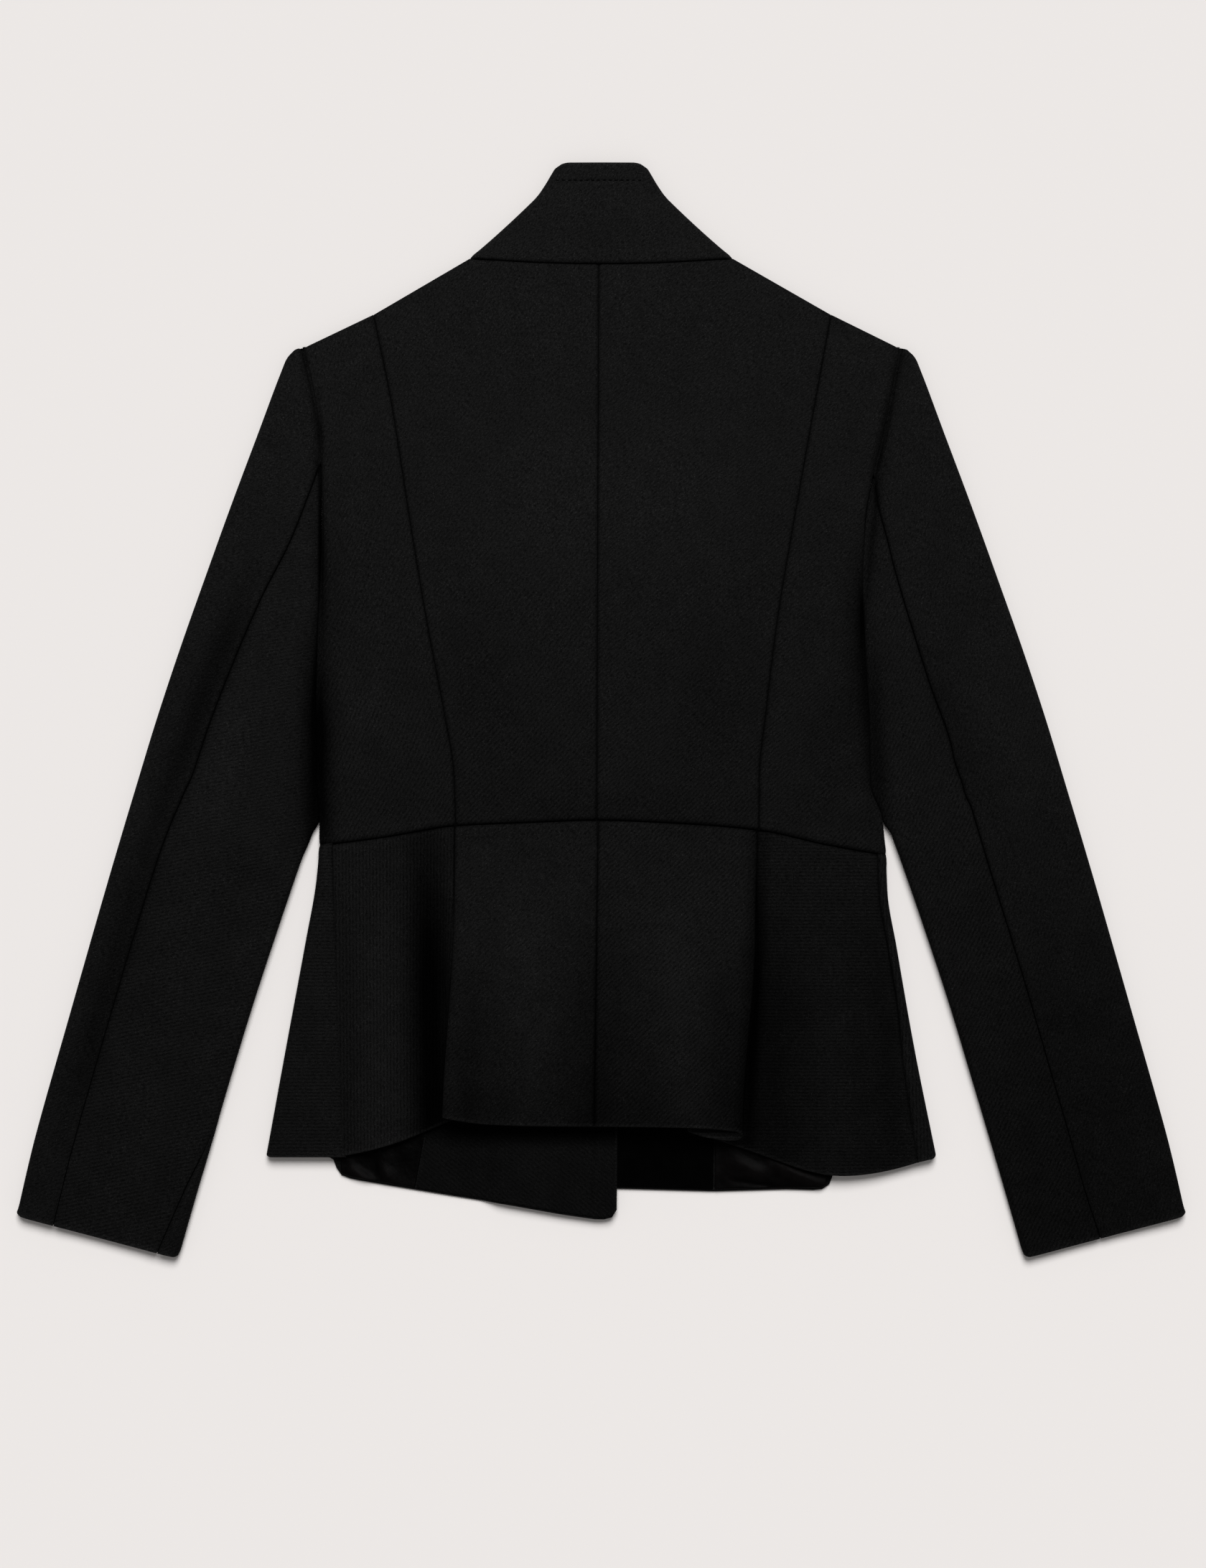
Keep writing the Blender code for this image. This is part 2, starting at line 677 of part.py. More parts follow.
def under_level(hand, x, y):
    """Height of the underside of a front: the left front is lifted where it laps the right."""
    if hand == "right":
        return np.zeros_like(x)
    lift = WALL + LAY_GAP + (FACING_WALL + LAY_GAP) * ease((FACING_LIFT_Y - y) / FACING_LIFT_REACH)
    return lift * ease((x - RIGHT_FRONT_EDGE + OVERLAP_RAMP + LAY_CLEAR) / OVERLAP_RAMP)


def front_panel(hand):
    """Front of the body, under the back: turned up at the side, flat on the floor to its front edge."""
    half = 0.5 * SEAM_GAP
    outward = -1.0 if hand == "left" else 1.0
    edge = LEFT_FRONT_EDGE if hand == "left" else RIGHT_FRONT_EDGE

    def upright(low_x, high_x):
        def line(along):
            low = waist_y(np.full_like(along, low_x)) + half
            x = low_x + along * (high_x - low_x)
            high = front_neck_y(np.full_like(along, high_x)) - half
            return x, low + along * (high - low)

        return line

    def flat(along):
        return edge_flat(hand, along)

    lines = [
        flat,
        shifted(hand + " princess", 0.0),
        shifted(hand + " neck", 0.0),
        upright(outward * FRONT_OUTER_X, outward * FRONT_NECK[2].x),
        upright(outward * FRONT_INNER_X, outward * FRONT_NECK[1].x),
        upright(0.0, 0.0),
        upright(edge, edge),
    ]
    if hand == "right":
        lines.insert(-1, upright(-FRONT_OUTER_X, -FRONT_OUTER_X))

    def surface(across, along):
        x, y = ruled(lines, np.maximum(across, 0.0), along)
        radius = edge_roll(flat(along)[1])
        angle = np.maximum(-across, 0.0) * 0.5 * math.pi
        x = x + outward * radius * np.sin(angle)
        lift = SHOULDER_LIFT * shoulder_nearness(x, y) * ease((SHOULDER_TIP - np.abs(x)) / SHOULDER_FADE)
        return np.stack([x, y, under_level(hand, x, y) + lift + radius * (1.0 - np.cos(angle))], axis=-1)

    columns = join_steps(
        steps(EDGE_SEAM_SHARE - 1.0, 0.0, ARC_STEPS),
        steps(0.0, 1.0, 2),
        steps(1.0, 2.0, 3),
        steps(2.0, 3.0, 1),
        steps(3.0, 4.0, 2),
        steps(4.0, 5.0, 2),
        steps(5.0, float(len(lines) - 1), len(lines) - 6),
    )
    side = -1 if hand == "left" else 1
    panel = fitted(surface, above_waist(hand), front_neck_end)
    make_wall("front_" + hand, "wool", panel, columns, body_rows(hand), WALL, side)


def sleeve_row(along, name):
    """One column of the sleeve rows at a row number."""
    places = np.arange(len(SLEEVE_ROWS), dtype=float)
    return smooth_line(along, places, column(SLEEVE_ROWS, name))


def sleeve_inner_x(y, hand):
    """Inner edge of the sleeve: free below the underarm, along the armhole above it."""
    sign = -1.0 if hand == "left" else 1.0
    free = smooth_line(y, column(SLEEVE_INNER, "y"), column(SLEEVE_INNER, hand))
    armhole = edge_x(y, hand) + sign * SEAM_GAP
    share = ease((y - ARMHOLE_Y) / ARMHOLE_REACH)
    return free + share * (armhole - free)


def sleeve_ring(hand):
    """Return the sleeve as a surface: around counts six runs of the flattened ring, along counts rows.

    Runs: 0-1 outer edge to top, 1-2 top, 2-3 top to inner edge, 3-4 inner edge to underside,
    4-5 underside, 5-6 underside to outer edge.
    """
    sign = -1.0 if hand == "left" else 1.0

    def surface(around, along):
        outer_x = sign * sleeve_row(along, "outer_x")
        outer_y = sleeve_row(along, "outer_y")
        inner_y = sleeve_row(along, "inner_y")
        inner_x = sleeve_inner_x(inner_y, hand)
        tall = sleeve_row(along, "height")
        outer_roll = 0.5 * tall
        inner_roll = np.minimum(sleeve_row(along, "roll"), 0.5 * tall)
        width = np.hypot(inner_x - outer_x, inner_y - outer_y)
        turn = np.mod(around, 6.0)
        run = np.floor(turn).astype(int)
        share = turn - run
        bend = share * 0.5 * math.pi
        flat = width - outer_roll - inner_roll
        sag = SLEEVE_SAG * np.sin(math.pi * share) ** 2 * ease((width - SAG_WIDTH) / SAG_REACH)
        reach = np.select(
            [run == 0, run == 1, run == 2, run == 3, run == 4, run == 5],
            [
                outer_roll * (1.0 - np.cos(bend)),
                outer_roll + share * flat,
                width - inner_roll * (1.0 - np.sin(bend)),
                width - inner_roll * (1.0 - np.cos(bend)),
                width - inner_roll - share * flat,
                outer_roll * (1.0 - np.sin(bend)),
            ],
        )
        z = np.select(
            [run == 0, run == 1, run == 2, run == 3, run == 4, run == 5],
            [
                outer_roll * (1.0 + np.sin(bend)),
                tall - sag,
                tall - inner_roll * (1.0 - np.cos(bend)),
                inner_roll * (1.0 - np.sin(bend)),
                0.0 * tall,
                outer_roll * (1.0 - np.cos(bend)),
            ],
        )
        x = outer_x + (inner_x - outer_x) * reach / width
        y = outer_y + (inner_y - outer_y) * reach / width
        return np.stack([x, y, z], axis=-1)

    return surface


def seam_turn(hand, kind, along, offset):
    """Place of a sleeve seam on the ring, counted in runs, moved along the cloth by an offset."""
    share = smooth_line(along, column(SLEEVE_SEAM, "row"), column(SLEEVE_SEAM, hand + "_" + kind))
    last = column(SLEEVE_SEAM, hand + "_" + kind)[-1]
    share = np.where(along > SLEEVE_SEAM[-1].row, last, share)
    sign = -1.0 if hand == "left" else 1.0
    outer_x = sign * sleeve_row(along, "outer_x")
    inner_y = sleeve_row(along, "inner_y")
    inner_x = sleeve_inner_x(inner_y, hand)
    width = np.hypot(inner_x - outer_x, inner_y - sleeve_row(along, "outer_y"))
    outer_roll = 0.5 * sleeve_row(along, "height")
    inner_roll = np.minimum(sleeve_row(along, "roll"), outer_roll)
    flat = width - outer_roll - inner_roll
    on_flat = 1.0 + (share * width - outer_roll + offset) / flat
    past = np.clip((share * width - width + inner_roll) / inner_roll, 0.0, 1.0)
    on_edge = 2.0 + (np.arcsin(past) + offset / inner_roll) / (0.5 * math.pi)
    return np.where(on_flat <= 2.0, on_flat, on_edge)


def sleeve_pieces(hand):
    """Upper sleeve and under sleeve of one arm."""
    ring = sleeve_ring(hand)
    half = 0.5 * SLEEVE_SEAM_GAP
    side = 1 if hand == "left" else -1

    end = UNDER_SLEEVE_END[hand]

    def upper(across, along):
        start = seam_turn(hand, "fore", along, half)
        tied = seam_turn(hand, "hind", along, -half)
        stop = 6.0 + np.where(along < end + 0.01, tied, 3.0)
        first = start + across * (4.0 - start)
        final = 7.0 + (across - 4.0) * (stop - 7.0)
        around = np.where(across < 1.0, first, np.where(across < 4.0, 3.0 + across, final))
        return ring(around, along)

    def under(across, along):
        start = seam_turn(hand, "hind", along, half)
        stop = seam_turn(hand, "fore", along, -half)
        return ring(start + across * (stop - start), along)

    columns = join_steps(
        steps(0.0, 1.0, 4),
        steps(1.0, 2.0, 2),
        steps(2.0, 4.0, 2 * ARC_STEPS),
        steps(4.0, 5.0, 6),
    )
    lower, higher = sleeve_rows(hand)
    rows = np.concatenate([lower, higher])
    make_wall("sleeve_upper_" + hand, "wool", upper, columns, rows, WALL, side, False)
    make_wall("sleeve_under_" + hand, "wool", under, steps(0.0, 1.0, 8), lower, WALL, side, False)


def collar_piece():
    """Stand collar: the back shows, both ends are folded under and lap at the front."""
    half = 0.5 * SEAM_GAP

    def surface(across, along):
        y_edge = NECK_Y + half + along * (COLLAR_TOP_Y - NECK_Y - half)
        wide = smooth_line(y_edge, column(COLLAR_ROWS, "y"), column(COLLAR_ROWS, "half"))
        tall = COLLAR_BASE_HEIGHT + along * (COLLAR_TOP_HEIGHT - COLLAR_BASE_HEIGHT)
        radius = 0.5 * tall
        run = np.clip(np.floor(across).astype(int), 0, 4)
        share = across - run
        bend = share * math.pi
        flat = wide - radius
        lap_left = COLLAR_LAP + (COLLAR_TOP_LAP - COLLAR_LAP) * along
        lap_right = -lap_left
        x = np.select(
            [run == 0, run == 1, run == 2, run == 3, run == 4],
            [
                lap_left + share * (-flat - lap_left),
                -flat - radius * np.sin(bend),
                -flat + share * 2.0 * flat,
                flat + radius * np.sin(bend),
                flat + share * (lap_right - flat),
            ],
        )
        lap = (COLLAR_WALL + LAY_GAP) * ease((1.0 - share) / COLLAR_LAP_SHARE)
        crown = COLLAR_CROWN * np.sin(math.pi * share)
        z = np.select(
            [run == 0, run == 1, run == 2, run == 3, run == 4],
            [
                lap,
                radius * (1.0 - np.cos(bend)),
                tall + crown,
                radius * (1.0 + np.cos(bend)),
                0.0 * tall,
            ],
        )
        under = np.select(
            [run == 0, run == 1, run == 2, run == 3, run == 4],
            [
                1.0 + 0.0 * share,
                0.5 + 0.5 * np.cos(bend),
                0.0 * share,
                0.5 - 0.5 * np.cos(bend),
                1.0 + 0.0 * share,
            ],
        )
        low_x = np.clip(x * NECK_HALF / wide, -NECK_HALF, NECK_HALF)
        low = back_neck_y(low_x) + under * (front_neck_y(low_x) - back_neck_y(low_x)) + half
        dip = COLLAR_DIP * (1.0 - np.clip(np.abs(x) / COLLAR_DIP_HALF, 0.0, 1.0) ** 2)
        high = COLLAR_TOP_Y - under * dip
        y = low + along * (high - low)
        return np.stack([x, y, z], axis=-1)

    reach = COLLAR_ROWS[0].half - 0.5 * COLLAR_BASE_HEIGHT
    breaks = [(COLLAR_LAP + x) / (COLLAR_LAP + reach) for x in COLLAR_BREAKS]
    columns = join_steps(
        np.array([0.0] + breaks + [1.0]),
        steps(1.0, 2.0, 2 * ARC_STEPS),
        steps(2.0, 3.0, 6),
        steps(3.0, 4.0, 2 * ARC_STEPS),
        5.0 - np.array([0.0] + breaks + [1.0])[::-1],
    )
    make_wall("collar", "wool", surface, columns, steps(0.0, 1.0, COLLAR_STEPS), COLLAR_WALL, 1)


def peplum_lines(along):
    """Points of all peplum lines at a share of the way from waist (0) to hem (1)."""
    half = 0.5 * SEAM_GAP
    waist_x = column(PEPLUM_LINES, "waist_x")
    high_y = waist_y(waist_x)
    high_z = back_height(waist_x, high_y)
    share = along[None, ...]

    def spread(values):
        return values.reshape((-1,) + (1,) * along.ndim)

    open_x = column(PEPLUM_LINES, "open_x")
    folded = ease((share - FLUTE_FOLD) / (1.0 - FLUTE_FOLD))
    x = spread(waist_x) + share * spread(open_x - waist_x)
    x = x + folded * spread(column(PEPLUM_LINES, "hem_x") - open_x)
    x[-1] = smooth_line(along, column(PEPLUM_EDGE, "share"), column(PEPLUM_EDGE, "right")) - RIGHT_SEAM_INSET
    y = spread(high_y - half) + share * spread(column(PEPLUM_LINES, "hem_y") - high_y + half)
    open_z = column(PEPLUM_LINES, "open_z")
    z = spread(high_z) + ease(share / FLUTE_RISE) * spread(open_z - high_z)
    z = z + folded * spread(column(PEPLUM_LINES, "hem_z") - open_z)
    return np.stack([x, y, z], axis=-1)


def peplum_spread(across, along):
    """Smooth sections through the peplum lines; across counts lines."""
    return soft_curve(peplum_lines(along), across)


def peplum_top(across, along):
    """Outside of the peplum back, sewn to the waist seam."""
    return fitted(peplum_spread, below_waist("left"))(across, along)


def line_number(name):
    """Number of a named peplum line."""
    return float([row.name for row in PEPLUM_LINES].index(name))


def peplum_backs():
    """Centre back and side panels of the peplum."""
    rows = steps(0.0, 1.0, PEPLUM_ROWS)
    first = line_number(SIDE_LEFT_LAST)
    last = line_number(SIDE_RIGHT_FIRST)
    centre = line_number("centre")
    end = line_number("right seam")

    def panel(name, start, stop, before, after):
        whole = steps(start, stop, int(stop - start) * LINE_STEPS)
        whole[0] = whole[0] + before
        whole[-1] = whole[-1] - after
        make_wall(name, "wool", peplum_top, whole, rows, PEPLUM_WALL, -1)

    panel("peplum_side_left", 0.0, first, LEFT_SEAM_LINES, FOLD_SEAM_LINES)
    panel("peplum_back_left", first, centre, FOLD_SEAM_LINES, CENTRE_SEAM_LINES)
    panel("peplum_back_right", centre, last, CENTRE_SEAM_LINES, FOLD_SEAM_LINES)
    panel("peplum_side_right", last, end, FOLD_SEAM_LINES, RIGHT_SEAM_LINES)


def peplum_front(hand):
    """Return the front of the peplum as a surface.

    Across counts: 0-1 on top from its seam to the side edge, 1-3 round the edge, then one
    for each column of the under hem.
    """
    half = 0.5 * SEAM_GAP
    outward = -1.0 if hand == "left" else 1.0
    seam = PEPLUM_LINES[0] if hand == "left" else PEPLUM_LINES[-1]
    hem = UNDER_HEM_LEFT if hand == "left" else UNDER_HEM_RIGHT

    def surface(across, along):
        edge = smooth_line(along, column(PEPLUM_EDGE, "share"), column(PEPLUM_EDGE, hand))
        seam_x = peplum_lines(along)[0 if hand == "left" else -1][..., 0] + outward * half
        high = waist_y(np.full_like(along, outward * EDGE_WAIST_X)) - half
        waist_z = back_height(np.full_like(along, seam.waist_x), high)
        tall = waist_z + ease(along / FLUTE_RISE) * (PEPLUM_EDGE_HEIGHT - waist_z)
        radius = 0.5 * tall
        flat_x = edge - outward * radius
        bend = np.clip(across - 1.0, 0.0, 2.0) * 0.5 * math.pi
        over = np.clip(across, 0.0, 1.0)
        x = seam_x + over * (flat_x - seam_x) + outward * radius * np.sin(bend)
        seam_y = waist_y(np.full_like(along, seam.waist_x)) - half
        start_y = seam_y + along * (seam.hem_y - seam_y)
        edge_y = high + along * (EDGE_HEM_Y - high)
        y = start_y + over * (edge_y - start_y)
        z = radius * (1.0 + np.cos(bend))
        seam_z = waist_z + ease(along / FLUTE_RISE) * (seam.hem_z - waist_z)
        z = z + (1.0 - over) * (seam_z - tall)
        number = np.clip(np.floor(across - 3.0).astype(int), 0, len(hem) - 1)
        share = np.clip(across - 3.0 - number, 0.0, 2.0)
        low_x = column(hem, "waist_x")
        end_x = column(hem, "hem_x")
        end_y = column(hem, "hem_y")
        before = np.maximum(number - 1, 0)
        waist_from = np.where(number == 0, np.asarray(outward * EDGE_UNDER_WAIST_X), low_x[before])
        hem_from = np.where(number == 0, np.asarray(outward * EDGE_UNDER_HEM_X), end_x[before])
        hem_y_from = np.where(number == 0, EDGE_HEM_Y, end_y[before])
        to_waist = waist_from + share * (low_x[number] - waist_from)
        to_hem = hem_from + share * (end_x[number] - hem_from)
        to_hem_y = hem_y_from + share * (end_y[number] - hem_y_from)
        under_x = to_waist + along * (to_hem - to_waist)
        first_x = flat_x + share * (under_x - flat_x)
        under_x = np.where(number == 0, first_x, under_x)
        under_high = waist_y(to_waist) - half
        under_y = under_high + along * (to_hem_y - under_high)
        below = across > 3.0
        x = np.where(below, under_x, x)
        y = np.where(below, under_y, y)
        z = np.where(below, under_level(hand, under_x, under_y), z)
        return np.stack([x, y, z], axis=-1)

    return surface


def peplum_fronts():
    """Both fronts of the peplum with the facings and linings that lie on them."""
    for hand in ("left", "right"):
        surface = fitted(peplum_front(hand), below_waist(hand))
        hem = UNDER_HEM_LEFT if hand == "left" else UNDER_HEM_RIGHT
        side = 1 if hand == "left" else -1
        columns = join_steps(
            steps(0.0, 1.0, 2),
            steps(1.0, 3.0, 2 * ARC_STEPS),
            steps(3.0, 3.0 + len(hem), len(hem)),
        )
        columns = np.array(sorted(set(np.round(columns, 6)) | set(UNDER_EXTRA_COLUMNS[hand])))
        rows = steps(0.0, 1.0, PEPLUM_ROWS)
        make_wall("peplum_front_" + hand, "wool", surface, columns, rows, WALL, side)
        inside = lifted(surface, -(WALL + LAY_GAP + FACING_WALL), side)
        spans = {"lining_": LINING_LEFT_SPAN, "facing_": FACING_LEFT_SPAN}
        if hand == "right":
            spans = {"lining_": LINING_RIGHT_SPAN, "facing_": FACING_RIGHT_SPAN}
        for kind, (start, stop) in spans.items():
            whole = [float(number) for number in range(len(hem)) if start < number < stop]
            places = np.array([start + SPAN_GAP] + whole + [stop - SPAN_GAP]) + FIRST_HEM_COLUMN
            finish = "satin" if kind == "lining_" or hand == "right" else "facing"
            rows = steps(FACING_START, 1.0 - HEM_TURN / HEM_LENGTH, FACING_ROWS)
            make_wall(kind + hand, finish, inside, places, rows, FACING_WALL, -side)


def main():
    """Build every piece of the coat."""
    clear_scene()
    collar_piece()
    for hand in ("left", "right"):
        back_panel(hand)
        side_back_panel(hand)
        front_panel(hand)
        sleeve_pieces(hand)
    peplum_backs()
    peplum_fronts()


main()
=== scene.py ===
"""Looks of a short wrap coat of black wool twill that lies flat on its front with the back up.

Every cut piece is a thin closed shell on the form of its solid, with rounded seam and hem edges, soft
creases and a weave map in metres. Sizes are in millimetres until a mesh is made.
"""

import logging
import math
from dataclasses import dataclass
from enum import Enum, auto
from functools import partial
from typing import Any, Callable, NamedTuple, Optional, Sequence

import bpy
import numpy as np
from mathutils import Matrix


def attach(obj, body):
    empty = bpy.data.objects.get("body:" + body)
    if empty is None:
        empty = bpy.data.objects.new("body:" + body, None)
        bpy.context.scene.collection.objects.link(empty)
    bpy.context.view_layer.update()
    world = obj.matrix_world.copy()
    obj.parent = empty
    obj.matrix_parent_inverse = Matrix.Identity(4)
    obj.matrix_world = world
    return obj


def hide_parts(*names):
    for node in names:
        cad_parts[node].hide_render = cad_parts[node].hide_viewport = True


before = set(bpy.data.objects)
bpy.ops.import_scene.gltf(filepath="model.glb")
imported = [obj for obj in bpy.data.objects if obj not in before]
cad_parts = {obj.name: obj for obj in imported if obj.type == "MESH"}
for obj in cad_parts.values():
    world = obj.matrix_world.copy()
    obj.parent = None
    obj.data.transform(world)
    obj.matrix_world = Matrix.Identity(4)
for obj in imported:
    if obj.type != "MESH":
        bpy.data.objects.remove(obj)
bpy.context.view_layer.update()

Grid = np.ndarray
Surface = Callable[[Grid, Grid], Grid]
Curve = Callable[[Grid], Grid]
Path = Callable[[Grid], tuple]
MM = 0.001
QUARTER = 0.5 * math.pi
# Shares of a rim's width where the columns or rows of a mesh lie close
RIM_PLACES = np.array([0.0, 0.06, 0.16, 0.3, 0.5, 0.75, 1.0])
MEASURED_POINTS = 400
PLACE_DIGITS = 6
CREASE_FADE = 1.25
NORMAL_STEP = 1.0e-4
LEAST_LENGTH = 1.0e-12
# Blender's band waves have a period of 0.1 pi over their scale
WAVE = 0.1 * math.pi
SPAN = ("Value", "From Min", "From Max", "To Min", "To Max")
BODY = "root"
FLOOR = "studio_floor"
WEAVE = "weave"
DEPTH_AND_PAINTED_SHADE = "depth_and_painted_shade"
LOG = logging.getLogger("wrap_coat")


class Hand(Enum):
    """Side of the coat as its back is seen; the value points outwards along X."""

    LEFT = -1.0
    RIGHT = 1.0

    @property
    def word(self) -> str:
        """Name of the side as the nodes spell it."""
        return self.name.lower()

    def pick(self, left: Any, right: Any) -> Any:
        """Choose what belongs to this side."""
        return left if self is Hand.LEFT else right


class BodyLine(Enum):
    """Lines of the body from the waist seam to the shoulder or neck."""

    EDGE = auto()
    PRINCESS = auto()
    NECK = auto()
    CENTRE = auto()


class Rim(Enum):
    """How a cut edge is rounded off: radius, depth, height of the ridge beside it, painted shade along it
    (a painted highlight where negative).
    """

    # The last value paints shade along a seam edge, and a painted highlight along a hem edge where it is
    # negative
    SEAM = (1.9, 1.3, 0.22, 1.0)
    DEEP = (2.4, 1.6, 0.3, 1.3)
    HEM = (1.3, 0.9, 0.0, -3.2)
    LAP = (0.7, 0.6, 0.0, 0.0)

    @property
    def radius(self) -> float:
        """Width of the rounding."""
        return self.value[0]


def ease(value: Grid) -> Grid:
    """Blend softly from 0 to 1."""
    value = np.clip(value, 0.0, 1.0)
    return value * value * (3.0 - 2.0 * value)


def points(x: Grid, y: Grid, z: Grid) -> Grid:
    """Join three coordinates into one array of points."""
    return np.stack(np.broadcast_arrays(x, y, z), axis=-1).astype(float)


@dataclass(frozen=True)
class Line:
    """A smooth line through a few knots that never overshoots them."""

    knots: tuple
    values: tuple

    def at(self, place: Grid) -> Grid:
        """Follow the line.

        Args:
            place: Places along the knots.

        Returns:
            The values there; past the ends the line goes on straight.
        """
        knots = np.asarray(self.knots, dtype=float)
        values = np.asarray(self.values, dtype=float)
        place = np.asarray(place, dtype=float)
        step = np.diff(knots)
        slope = np.diff(values) / step
        same = slope[:-1] * slope[1:] > 0.0
        mean = 2.0 * slope[:-1] * slope[1:] / np.where(same, slope[:-1] + slope[1:], 1.0)
        tangent = np.concatenate([slope[:1], np.where(same, mean, 0.0), slope[-1:]])
        index = np.clip(np.searchsorted(knots, place) - 1, 0, len(knots) - 2)
        share = (place - knots[index]) / step[index]
        inside = np.clip(share, 0.0, 1.0)
        square = inside * inside
        cube = square * inside
        curve = (2.0 * cube - 3.0 * square + 1.0) * values[index]
        curve = curve + (cube - 2.0 * square + inside) * step[index] * tangent[index]
        curve = curve + (3.0 * square - 2.0 * cube) * values[index + 1]
        curve = curve + (cube - square) * step[index] * tangent[index + 1]
        end = np.where(share > 1.0, tangent[index + 1], tangent[index])
        return curve + (share - inside) * step[index] * end


def ruled(lines: Sequence[Path], across: Grid, along: Grid) -> tuple:
    """Run straight across between neighbouring lines.

    Args:
        lines: Functions that give x and y along a line.
        across: Place between the lines, counted in lines.
        along: Share of the way along them.

    Returns:
        The x and y coordinates.
    """
    index = np.clip(np.floor(across).astype(int), 0, len(lines) - 2)
    share = across - index
    x = np.zeros_like(along)
    y = np.zeros_like(along)
    for place in range(len(lines) - 1):
        here = index == place
        start_x, start_y = lines[place](along)
        stop_x, stop_y = lines[place + 1](along)
        x = np.where(here, start_x + share * (stop_x - start_x), x)
        y = np.where(here, start_y + share * (stop_y - start_y), y)
    return x, y


def fitted(surface: Surface, foot: Curve, head: Optional[Curve] = None) -> Surface:
    """Pull the first and last rows of a surface on to seam lines.

    Args:
        surface: The surface as it is.
        foot: Gives the y of the first row from its points.
        head: Gives the y of the last row from its points.

    Returns:
        The pulled surface.
    """

    def pulled(across: Grid, along: Grid) -> Grid:
        """Evaluate the pulled surface.

        Args:
            across: Place across the panel.
            along: Share of the way along it.

        Returns:
            The points.
        """
        place = surface(across, along)
        base = surface(across, np.zeros_like(along))
        move = (1.0 - along) * (foot(base) - base[..., 1])
        if head is not None:
            tip = surface(across, np.ones_like(along))
            move = move + along * (head(tip) - tip[..., 1])
        place[..., 1] = place[..., 1] + move
        return place

    return pulled


@dataclass(frozen=True)
class BodyForm:
    """Form of the body between the waist seam and the collar seam."""

    wall: float = 2.4
    seam_gap: float = 0.3
    waist_gap: float = 0.6
    lay_gap: float = 0.3
    facing_wall: float = 1.2
    height: float = 8.3
    dome: float = 0.6
    dome_y: float = 175.0
    dome_reach: float = 120.0
    shoulder_edge: float = 7.4
    shoulder_reach: float = 34.0
    shoulder_lift: float = 2.2
    shoulder_cover: float = 62.0
    shoulder_fade: float = 26.0
    shoulder_tip: float = 194.0
    shoulder_x: float = 200.4
    shoulder_y: float = 243.0
    neck_half: float = 88.2
    neck_y: float = 302.6
    neck_sag: float = 3.8
    neck_line_x: float = 52.0
    side_waist_x: float = 190.0
    side_waist_y: float = -92.0
    centre_x: float = -3.1
    centre_lean: float = 1.4
    princess_y: float = 265.0
    left_front_edge: float = 12.5
    right_front_edge: float = -60.0
    front_outer_x: float = 46.0
    front_inner_x: float = 26.0
    front_waist_y: float = -76.0
    overlap_ramp: float = 18.0
    lay_clear: float = 4.0
    facing_lift_y: float = -150.0
    facing_lift_reach: float = 50.0
    under_limit: float = 4.2
    edge_seam: float = 0.015
    waist: Line = Line(
        (-189.0, -147.0, -97.2, -51.0, -3.0, 54.0, 105.4, 150.0, 191.0),
        (-90.4, -85.0, -77.0, -75.0, -73.4, -75.6, -80.0, -89.6, -97.0),
    )
    edge_left: Line = Line(
        (-97.0, -72.0, -50.0, -5.0, 53.0, 90.0, 125.0, 155.0, 190.0, 219.0, 243.0),
        (-188.6, -188.8, -190.2, -191.2, -190.0, -188.3, -187.4, -187.4, -189.2, -193.8, -200.4),
    )
    edge_right: Line = Line(
        (-97.0, -72.0, -50.0, -5.0, 53.0, 90.0, 125.0, 155.0, 190.0, 219.0, 243.0),
        (190.7, 188.2, 180.6, 179.4, 176.6, 175.2, 176.6, 181.6, 190.0, 195.6, 200.3),
    )
    edge_roll: Line = Line(
        (-97.0, -5.0, 40.0, 80.0, 125.0, 155.0, 190.0, 219.0, 243.0),
        (4.1, 4.1, 3.7, 2.9, 2.2, 1.9, 1.7, 1.7, 1.7),
    )
    princess_left: Line = Line(
        (-80.0, -40.0, -5.0, 60.0, 130.0, 206.0, 265.0),
        (-97.2, -98.8, -104.4, -116.8, -128.4, -140.4, -152.4),
    )
    princess_right: Line = Line(
        (-80.0, -40.0, -5.0, 60.0, 130.0, 206.0, 265.0),
        (105.4, 105.9, 109.7, 117.7, 129.5, 143.0, 153.8),
    )
    front_neck_x: tuple = (0.0, 46.0, 83.45, 88.2)
    front_neck_y: tuple = (243.0, 261.0, 302.2, 302.6)

    def edge_x(self, y: Grid, hand: Hand) -> Grid:
        """Side edge of the body at a height."""
        return hand.pick(self.edge_left, self.edge_right).at(y)

    def back_neck(self, x: Grid) -> Grid:
        """Collar seam across the back neck."""
        return self.neck_y - self.neck_sag * (1.0 - (x / self.neck_half) ** 2)

    def front_neck(self, x: Grid) -> Grid:
        """Front neckline, lower than the back one."""
        return np.interp(np.abs(x), self.front_neck_x, self.front_neck_y)

    def neck_end(self, neck: Curve) -> Curve:
        """Return the last row of a panel.

        Args:
            neck: Gives the y of a neckline at an x.

        Returns:
            A function from its points to their y: on the neckline between the neck points, else unchanged.
        """

        def end(place: Grid) -> Grid:
            """Give the y of the last row."""
            x = place[..., 0]
            return np.where(np.abs(x) < self.neck_half, neck(x) - 0.5 * self.seam_gap, place[..., 1])

        return end

    def waist_end(self, hand: Hand, offset: float) -> Curve:
        """Return the waist seam moved up or down: curved over the back, straight under the coat.

        Args:
            hand: Side of the coat.
            offset: How far the row lies above the seam line.

        Returns:
            A function from the points of a row to its y.
        """
        side_x = float(self.edge_x(np.array(self.side_waist_y), hand))
        side_y = float(self.waist.at(np.array(hand.value * self.side_waist_x)))
        edge = hand.pick(self.left_front_edge, self.right_front_edge)
        slope = (self.front_waist_y - side_y) / (edge - side_x)

